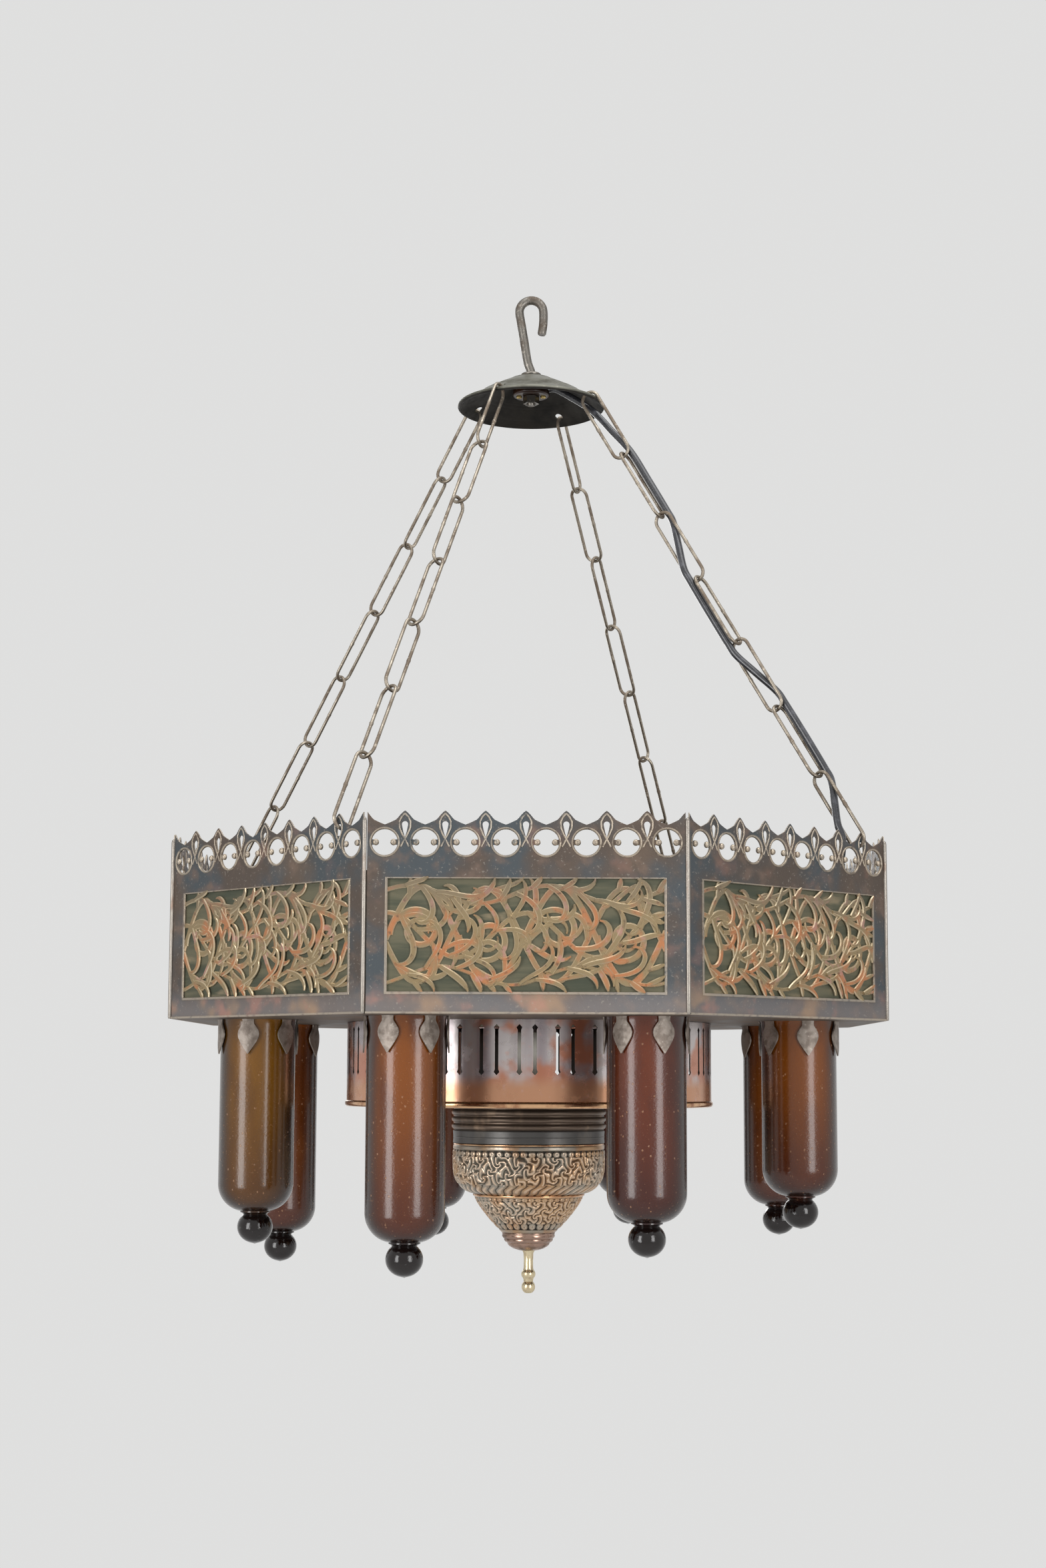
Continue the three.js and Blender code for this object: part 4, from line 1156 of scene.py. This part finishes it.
for i, (place, drop) in enumerate(zip(glass_places, glass_drops)):
    name = f"glass_{i + 1}_tube"
    mesh = hung(carry(vessel(name, drop), "seed", i * 5.1), place.x, place.y)
    piece(name, mesh, glass_of[i], f"glass_{i + 1}", f"glass_{i + 1}_vessel")
print("glass lengths under the band:", glass_drops)

# %% [markdown]
# ## Drum
# The drum is a round pan of polished copper with pairs of upright slots. One sector with two slots is drawn
# flat, cut into narrow strips, rolled round the drum's radius and repeated 32 times, and given an inner
# side that is painted dark as shade. A slot ends in a small diamond. The rolled lip and the floor are
# turned. The copper outside has painted reflections: pale upright streaks, and red patches that are
# partly the copper's own colour and partly the amber glass reflected.

# %% Slotted drum
drum_radius = 161
sectors = 32
sector_width = CIRCLE * drum_radius / sectors
wall_foot = -67.7
lip_radius = 159.6
lip_height = -70.2
lip_wire = 2.8
pan_floor = -69
bolt_hole = 3.7


def slot_outline(middle):
    half = [[0, -4.2], [2.4, -6.8], [1.45, -9], [1.45, -41.2], [2.4, -43.4], [0, -46]]
    return set_at(mirrored(half), middle)


def rolled(mesh, radius, columns, width):
    """Cuts a flat mesh into upright strips and rolls it round the Z axis, its front facing out at -Y."""
    work = bmesh.new()
    work.from_mesh(mesh)
    for k in range(1, columns):
        x = (k / columns - 0.5) * width * MM
        geometry = work.verts[:] + work.edges[:] + work.faces[:]
        bmesh.ops.bisect_plane(work, geom=geometry, plane_co=(x, 0, 0), plane_no=(1, 0, 0))
    for vertex in work.verts:
        turn = vertex.co.x / (radius * MM)
        vertex.co = Vector((radius * MM * math.sin(turn), -radius * MM * math.cos(turn), vertex.co.y))
    work.to_mesh(mesh)
    work.free()
    return mesh


def drum_wall():
    """The slotted wall with its inner side, smooth round the axis however its faces are cut."""
    half = sector_width / 2
    outlines = [rectangle(-half, wall_foot, half, -0.3), slot_outline(-6.4), slot_outline(6.4)]
    flat = sawn("sector", outlines, 0)
    sector = rolled(flat, drum_radius, 10, sector_width)
    whole = bmesh.new()
    for i in range(sectors):
        turn = Matrix.Rotation(CIRCLE * i / sectors, 4, "Z")
        sector.transform(turn)
        whole.from_mesh(sector)
        sector.transform(turn.inverted())
    bpy.data.meshes.remove(sector)
    bmesh.ops.remove_doubles(whole, verts=whole.verts[:], dist=0.02 * MM)
    points = [v.co.copy() for v in whole.verts]
    edges = [(e.verts[0].index, e.verts[1].index) for e in whole.edges if len(e.link_faces) == 1]
    faces = []
    for face in whole.faces:
        corners = [v.index for v in face.verts]
        middle = face.calc_center_median()
        faces.append(corners if face.normal.dot(Vector((middle.x, middle.y, 0))) > 0 else corners[::-1])
    whole.free()
    count = len(points)
    shrink = 1 - sheet / drum_radius
    inner = [Vector((v.x * shrink, v.y * shrink, v.z)) for v in points]
    rims = [[a, b, b + count, a + count] for a, b in edges]
    backs = [[i + count for i in face[::-1]] for face in faces]
    made = bpy.data.meshes.new("drum_wall")
    made.from_pydata([*points, *inner], [], [*faces, *backs, *rims])
    cut = {frozenset(edge) for edge in edges}
    for edge in made.edges:
        edge.use_edge_sharp = frozenset(v % count for v in edge.vertices) in cut
    normals = []
    # The inner side and the cut edges of the slots take the second finish, painted shade.
    for number, polygon in enumerate(made.polygons):
        polygon.material_index = int(number >= len(faces))
        polygon.use_smooth = True
        side = 1 if number < len(faces) else -1 if number < 2 * len(faces) else 0
        for corner in polygon.vertices:
            co = made.vertices[corner].co
            normals.append(Vector((co.x, co.y, 0)).normalized() * side)
    made.normals_split_custom_set(normals)
    return made


def copper_recipe(tree):
    height = tree.axis("Z") * (1 / MM) - band_foot / MM
    # The upright pale streaks in the lilac-grey tarnish are painted reflections on the polished wall.
    painted_reflection_streaks = tree.cloud(16, 3, (1, 1, 0.08))
    tarnish_with_painted_streaks = tree.mix(painted_reflection_streaks.between(0.35, 0.65), "a89da0", "d3cbc9")
    # Orange-red patches: partly the copper's own colour, partly a painted reflection of the amber glass.
    copper_red_and_glass_reflection = tree.cloud(34, 3).between(0.46, 0.6)
    colour = tree.mix(copper_red_and_glass_reflection * 0.8, tarnish_with_painted_streaks, "c97950")
    colour = tree.mix(1 - height.between(-58, -44), colour, "cf9a78")
    colour = tree.mix(tree.cloud(7, 4).between(0.58, 0.72) * 0.5, colour, "d8b0a4")
    dull = tree.cloud(11, 4).between(0.5, 0.75)
    return skin(colour, 0.22 + dull * 0.16, 0.64, tree.cloud(28, 3), 0.6)


def inner_shade_recipe(tree):
    # Painted shade: the drum's inner side and the pan's hidden faces are dark nearly to black, a little
    # streaked.
    stain = tree.cloud(14, 4, (1, 1, 0.4)).between(0.4, 0.65)
    return skin(tree.mix(stain, "1c1511", "382a20"), 0.7 + stain * 0.2)


def golden_recipe(tree):
    dull = tree.cloud(12, 4).between(0.45, 0.7)
    colour = tree.mix(dull, "d9ae86", "a9785a")
    return skin(colour, 0.2 + dull * 0.15, 1.0, tree.cloud(5, 3), 0.2)


polished_copper = finish("polished_copper", copper_recipe)
golden_lip = finish("golden_lip", golden_recipe)
painted_inner_shade = finish("painted_shade_inside", inner_shade_recipe)
piece("drum_wall", hung(drum_wall()), [polished_copper, painted_inner_shade], "drum")
roll = arc(lip_radius, lip_height, lip_wire, -180, 60, 16)
lip_profile = [[bolt_hole, lip_height], *roll, [160.2, -67.4], [160.2, -65.9], [159.8, -65.9],
               [lip_radius, pan_floor], [bolt_hole, pan_floor], [bolt_hole, lip_height]]
lip = turned("drum_lip", lip_profile, 160)
# Faces inside the pan and under it take the second finish, painted shade.
for polygon in lip.polygons:
    middle = polygon.center
    out = math.hypot(middle.x, middle.y) / MM
    inside_pan = middle.z / MM > pan_floor - 0.5 and out < lip_radius + 0.7
    under_pan = out < lip_radius - lip_wire - 0.8
    polygon.material_index = int(inside_pan or under_pan)
piece("drum_lip", hung(lip), [golden_lip, painted_inner_shade])
flange_in, flange_out = 147.8, 160.2
flange_profile = [*rectangle(flange_in, -1.5, flange_out, -0.3), [flange_in, -1.5]]
flange = turned("drum_flange", flange_profile, 160)
piece("drum_flange", hung(flange), polished_copper)
print("drum:", sectors * 2, "slots round a wall that ends", wall_foot, "mm under the band")

# %% [markdown]
# ## Stepped moulding
# Under the drum sits a dark turned moulding: three rounded rings over a plain band. It reflects the copper
# above it, so it is darkened copper with a half dull skin, and its rings are browner and paler than the
# band. Their pale spots are partly rubbed metal and partly a painted highlight, and orange upright streaks
# on them are painted reflections of the glass.


# %% Moulding
def dark_copper_recipe(tree):
    height = tree.axis("Z") * (1 / MM) - band_foot / MM
    rings = height.between(-93.5, -92.5)
    rubbed = tree.cloud(18, 4, (1, 1, 0.4)).between(0.5, 0.72)
    # Orange upright streaks on the rings are painted reflections of the glass.
    painted_glass_reflection = tree.cloud(45, 2, (1, 1, 0.1)).between(0.5, 0.62)
    band = tree.mix(rubbed, "5c5a58", "767069")
    # The pale spots on the rings are partly rubbed metal and partly a painted highlight.
    ring = tree.mix(rubbed, tree.mix(painted_glass_reflection, "6a5a4d", "a06b42"), "a88f78")
    return skin(tree.mix(rings, band, ring), 0.38 + rubbed * 0.1, 0.6, tree.cloud(6, 3), 0.2)


dark_copper = finish("dark_copper", dark_copper_recipe)
inner_radius, moulding_foot, moulding_top = 64.1, -104.6, -70.6
steps = [[inner_radius, moulding_foot], [66.9, moulding_foot], *arc(66.4, -99.4, 0.5, -60, 60, 4),
         [67, -94.2], [66, -93]]
for ring_height in (-90, -84, -78):
    steps += arc(65.5, ring_height, 2.7, -70, 70, 10)
steps += [[66, -75], [66, moulding_top], [inner_radius, moulding_top], [inner_radius, moulding_foot]]
moulding = turned("stepped_moulding", steps, 128, 40)
piece("stepped_moulding", hung(moulding), dark_copper, "boss_moulding")
print("moulding:", len(moulding.polygons), "faces")

# %% [markdown]
# ## Embossed bowl and cone
# The bowl and the cone under it are copper embossed from behind all over with small foliage. A finely
# divided turned shape is pushed out by a height for each angle and depth: rows of petals, curling strokes
# and slanting ribs. The same height is kept on the mesh, so that the finish can gild what stands out and
# leave the hollows brown. It also paints a pale highlight on the highest relief and black shade in the
# deepest hollows.


# %% Embossing
seam_radius = 48.5
bowl_depth = 44


def embossed(name, profile, relief, segments, rise):
    """Turns a smooth profile of [radius, height] from the foot up, pushed out by relief(turn, share)."""
    heights, points = [], []
    rows = len(profile)
    for row, (radius, height) in enumerate(profile):
        before, after = profile[max(row - 1, 0)], profile[min(row + 1, rows - 1)]
        slope = math.hypot(after[0] - before[0], after[1] - before[1])
        out_r, out_z = (after[1] - before[1]) / slope, -(after[0] - before[0]) / slope
        for k in range(segments):
            turn = CIRCLE * k / segments
            push = relief(turn, 1 - row / (rows - 1))
            heights.append(push)
            r = radius + out_r * (push - 0.5) * rise
            z = height + out_z * (push - 0.5) * rise
            points.append((r * math.sin(turn) * MM, -r * math.cos(turn) * MM, z * MM))
    mesh = to_mesh(name, points, bands(in_rings(points, segments)), 180)
    return carry(mesh, "relief", heights)


def hill(x, y, reach):
    """A round bump of height 1 and this reach."""
    return max(0.0, 1 - (x * x + y * y) / (reach * reach)) ** 0.6


def repeated(turn, count):
    """Where a turn lies in its repeat, from -0.5 to 0.5."""
    places = turn / CIRCLE * count
    return places - math.floor(places) - 0.5


def curls(x, y, heights, width, pitch):
    """Curling strokes round the nearest of staggered centres, each row turning the other way."""
    nearest = None
    for row, height in enumerate(heights):
        shift = 0.5 * (row % 2)
        middle = (math.floor(x / width + shift) + 0.5 - shift) * width
        reach = math.hypot(x - middle, y - height)
        if nearest is None or reach < nearest[0]:
            nearest = (reach, x - middle, y - height, row)
    reach, dx, dy, row = nearest
    turn = math.atan2(dy, dx) * (3 if row % 2 else -3)
    stroke = 0.5 + 0.5 * math.cos(turn + CIRCLE * reach / pitch + 0.7 * math.sin(0.9 * dx))
    return max(0.12 + 0.88 * stroke ** 0.7, hill(dx, dy, 1.5))


def petals(x, y, reach, stretch):
    """A row's petal, with a sunk spot beside its tip that the finish paints black as shade."""
    leaf = hill(x, y * stretch, reach)
    groove = hill(x, y * stretch * 0.8, reach * 0.3) * 0.4
    return 0.05 + 0.95 * leaf - groove


def bowl_relief(turn, share):
    """share runs from 0 at the bowl's rim to 1 at its seam."""
    down = share * bowl_depth
    around = turn / CIRCLE
    girth = CIRCLE * 66
    if down < 4.6:
        return 0.7
    if down < 5.6:
        return 0.3
    if down < 10.6:
        return petals(repeated(turn, 58) * girth / 58, down - 8.3, 3.3, 1.1)
    if down < 34.5:
        drift = 2.2 * math.sin(CIRCLE * 7 * around) + 1.3 * math.sin(CIRCLE * 19 * around + down * 0.4)
        return curls(around * girth, down - 10 + drift, (4.2, 12.2, 20.2), girth / 25, 4.9)
    rib = abs(math.sin(math.pi * 46 * (around + 0.0026 * (down - 34)) + 0.3 * math.sin(down)))
    return 0.1 + 0.9 * rib ** 0.8 * math.sin(math.pi * min(max((down - 34) / 9.8, 0.06), 0.94)) ** 0.4


def cone_relief(turn, share):
    """share runs from 0 at the seam to 1 at the cone's foot."""
    down = share * 40
    around = turn / CIRCLE
    girth = CIRCLE * 40
    if down < 2.6:
        return 0.75
    if down < 6.4:
        return petals(repeated(turn, 50) * girth / 50, down - 4.6, 2.6, 1.2)
    if down < 30:
        drift = 1.2 * math.sin(CIRCLE * 5 * around) + 0.6 * math.sin(CIRCLE * 13 * around + down * 0.5)
        return curls(around * girth, down - 6 + drift, (3.6, 11, 18.4), girth / 16, 4.5)
    if down < 37:
        return petals(repeated(turn, 26) * girth * 0.7 / 26, down - 33.4, 3.1, 0.8)
    return 0.7


def bowl_profile(rows=116):
    profile = []
    for share in np.linspace(1, 0, rows):
        curve = (1 - (max(share - 0.3, 0) / 0.7) ** 3.5) ** 0.8
        lip = 1 - min(share / 0.06, 1)
        profile.append([seam_radius + 18.5 * curve - 0.5 - lip, -105 - share * bowl_depth])
    return profile


def cone_profile(rows=94):
    shares = np.linspace(1, 0, rows)
    return [[seam_radius - 24.5 * share ** 1.3 - 0.4, -149.3 - share * 32.7] for share in shares]


def gilt_recipe(tree):
    """Gold where it stands out with a painted pale highlight on top, brown in the hollows with painted black
    shade in the deepest, and grey-green and orange patches.
    """
    relief = tree.marked("relief")
    patch = tree.cloud(34, 2).between(0.42, 0.58)
    second = tree.cloud(21, 3).between(0.5, 0.62)
    gold = tree.mix(patch, "b3926f", "a0978a")
    gold = tree.mix(second * 0.7, gold, "b08763")
    hollow = tree.mix(patch, "4e3823", "474133")
    # Painted shade: the lowest relief turns black.
    hollow = tree.mix(relief.between(0.06, 0.16), "1b130c", hollow)
    colour = tree.mix(relief.between(0.15, 0.6), hollow, gold)
    # Painted highlight: the highest relief turns pale.
    colour = tree.mix(relief.between(0.72, 0.98) * 0.75, colour, "e2c6aa")
    wear_and_sheen = relief.between(0.2, 0.7)
    return skin(colour, 0.44 - wear_and_sheen * 0.14, 0.4 + wear_and_sheen * 0.35, tree.cloud(1.3, 3), 0.3)


gilt = finish("gilt_relief", gilt_recipe)
bowl = embossed("bowl_relief", bowl_profile(), bowl_relief, 820, 1.5)
piece("bowl_relief", hung(bowl), gilt, "pendant_bowl")
cone = embossed("cone_relief", cone_profile(), cone_relief, 640, 1.4)
piece("cone_relief", hung(cone), gilt, "pendant_cone")
for name, radius, height, wire in (("bowl_rim", 65.6, -105.7, 0.9), ("bowl_seam", 47.9, -149.8, 1.2)):
    ring = turned(name, arc(radius, height, wire, -180, 180, 16), 128, 60)
    piece(name, hung(ring), golden_lip)
print("bowl", len(bowl.vertices), "and cone", len(cone.vertices), "points")

# %% [markdown]
# ## Finial
# The lamp ends in a turned finial: a stepped golden foot and a slim pale spindle with two beads. One
# profile gives both, and the faces of the foot take the darker of two finishes.


# %% Finial
def second_finish_above(mesh, height):
    """Marks the faces above a height in mm for the second of two finishes."""
    for polygon in mesh.polygons:
        polygon.material_index = int(polygon.center.z > height * MM)


pale_brass = finish("pale_brass", brass_skin("dccdab", "b8a586"))
foot_gold = finish("foot_gold", brass_skin("a5897a", "725d4d"))
spindle = [[0, -235], [2.2, -234.8], *arc(0, -229.6, 6.0, -62, 48, 12), [4.2, -224.6], [4.3, -223.4],
           *arc(1.8, -218.6, 4.5, -48, 48, 9), [4.6, -214.6], [4.2, -213.2], [4.1, -206], [4.4, -200.4],
           [5.6, -198.3]]
base = [[9.5, -197.7], [13.6, -196.4], [17.2, -194.2], [18.4, -192.6], [18.7, -191.4], [20.6, -190.4],
        [21.5, -189], [21.3, -187.9], [22.5, -187], [23.3, -185.6], [23, -184.3], [23.3, -183.2],
        [23, -182.1], [3.4, -182.1]]
finial = turned("turned_finial", [*spindle, *base], 72, 30)
second_finish_above(finial, -197.9)
piece("turned_finial", hung(finial), [pale_brass, foot_gold], "finial")
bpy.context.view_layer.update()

# %% [markdown]
# ## Strap, lampholder and bulb
# Inside the drum a strap across the opening carries a bakelite lampholder, whose bulb lights the slots.
# They show only from above and through the slots, so they are plain but true: a strap with an eye, a ribbed
# body and a frosted bulb with a brass cap.


# %% Strap, holder and bulb
strap_reach = 164
strap_half = 9
eye_radius = 24
rivet_place = 156.5


def strap_outline():
    """A bar that widens to a round eye in the middle."""
    meet = math.degrees(math.asin(strap_half / eye_radius))
    eye = arc(0, 0, eye_radius, 180 + meet, 360 - meet, 20)
    front = [[-strap_reach, -strap_half], *eye, [strap_reach, -strap_half]]
    return front + [[-x, -y] for x, y in front]


strap_holes = [ring_of(15.5, 40), ring_of(2.2, 16, rivet_place), ring_of(2.2, 16, -rivet_place)]
strap = sawn("holder_bar", [strap_outline(), *strap_holes], 2, 0.3)
piece("holder_bar", hung(strap, 0, 0, 2.5), inner_iron, "holder_strap")
for side_name, side in sides:
    rivet = turned("rivet", [[0, 3.5], [3.6, 3.5], [3.4, 4.3], [2.2, 5.2], [0, 5.6]], 24)
    piece(f"strap_rivet_{side_name}", hung(rivet, rivet_place * side), inner_iron)


def frosted_recipe(tree):
    return skin(tree.mix(tree.cloud(12, 3), "f4f0e6", "e8e1d0"), 0.4)


frosted = finish("frosted_glass", frosted_recipe, Transmission_Weight=0.35, IOR=1.45)
cap_brass = finish("cap_brass", brass_skin("c7b288", "9c8a60"))
repainted("centre_bolt", inner_iron)
holder_profile = [[13.4, -8], [15, -7.4], [15, 3.8], [19.4, 3.8], [20, 4.4]]
for foot in range(8, 28, 4):
    holder_profile += [[20, foot], [20.4, foot + 0.5], [20.4, foot + 1.5], [20, foot + 2]]
holder_profile += [[20, 37.6], *arc(16, 37.8, 4, 0, 60, 5), [12, 45.2], [9, 47.8], [0, 47.8], [0, 26.1],
                   [13.4, 26.1], [13.4, -8]]
holder = turned("bakelite_body", holder_profile, 64, 30)
piece("bakelite_body", hung(holder), bakelite, "lampholder")
bulb_glass = [[0, -58.5], *arc(0, -36, 22.5, -85, 30, 18), [17.6, -20.6], [15, -14.5], [12.9, -9.5],
              [12.6, -6.4]]
thread = [[12.7 + 0.4 * math.sin(k * 1.3), -6 + k * 0.9] for k in range(28)]
bulb = turned("frosted_bulb", [*bulb_glass, *thread, [12.4, 19.6], [6, 21.9], [4, 25.8], [0, 25.8]], 64, 60)
second_finish_above(bulb, -6.4)
piece("frosted_bulb", hung(bulb), [frosted, cap_brass], "bulb")
print("strap, holder and bulb are inside the drum")

# %% [markdown]
# ## Flex
# One round dark flex runs from the terminal block out under the canopy's rim, weaves down through the
# right-hand chain and drops inside the band to the lampholder. It is held all the way, so its route is
# fixed: the same points as in the plain model, joined by a smooth curve, with a round section swept along
# it.

# %% Flex along the right-hand chain
flex_radius = 3.2
weave_reach = 7.9
leave_block = [[72, 17.5, 579], [72, 21, 579], [72, 26, 577.2], [72, 35, 571.8], [71.5, 46, 564.5],
               [70.5, 57, 556.5], [69, 68, 545.5], [67, 79, 533]]
weave = [[1, 1], [1.5, 1.04], [2, 1], [2.15, 0.95], [2.5, 0], [2.85, -0.95], [3, -1], [3.5, -1.04],
         [4, -1], [4.15, -0.95], [4.5, 0], [4.85, 0.95], [5, 1], [5.5, 1.04], [6, 1], [6.14, 0.95],
         [6.42, 0], [6.68, -0.95]]
to_holder = [[84.5, 286.5, 152], [81, 287.5, 132], [76, 286, 108], [69, 280, 82], [58, 268, 55],
             [46, 250, 30], [34, 226, 13], [22, 196, 5.6], [12, 162, 5], [6, 128, 6.5], [2, 96, 12],
             [0, 66, 20.5], [0, 42, 26.5], [0, 30, 28], [0, 20.3, 28]]


def flex_route():
    points = []
    for degrees, radius, height in leave_block:
        place = outward(math.radians(degrees)) * radius
        points.append(point(place.x, place.y, height))
    top, length, down, beside, above = chain_line(chain_angles[1])
    pitch = (length - lap) / links
    for count, share in weave:
        side = math.radians(43.3 - 3.33 * (count - 1))
        offset = above * math.cos(side) + beside * math.sin(side)
        points.append(point(*(top + down * count * pitch + offset * share * weave_reach)))
    for sideways, out, height in to_holder:
        place = outward(OCTANT) * out + outward(OCTANT + QUARTER) * sideways
        points.append(point(place.x, place.y, height))
    return points


def flex_recipe(tree):
    rub = tree.cloud(9, 3).between(0.5, 0.7)
    return skin(tree.mix(rub, "323337", "4d4e54"), 0.26 + rub * 0.15, 0.0, tree.cloud(3, 3), 0.3)


rubber = finish("flex_rubber", flex_recipe, Coat_Weight=0.5, Coat_Roughness=0.12)
route = smooth_line(flex_route(), 6)
piece("flex_cable", swept("flex_cable", route, flex_radius * MM, 20), rubber, "flex")
run = sum(np.linalg.norm(b - a) for a, b in zip(route, route[1:]))
print("the flex runs for", round(float(run), 3), "m")
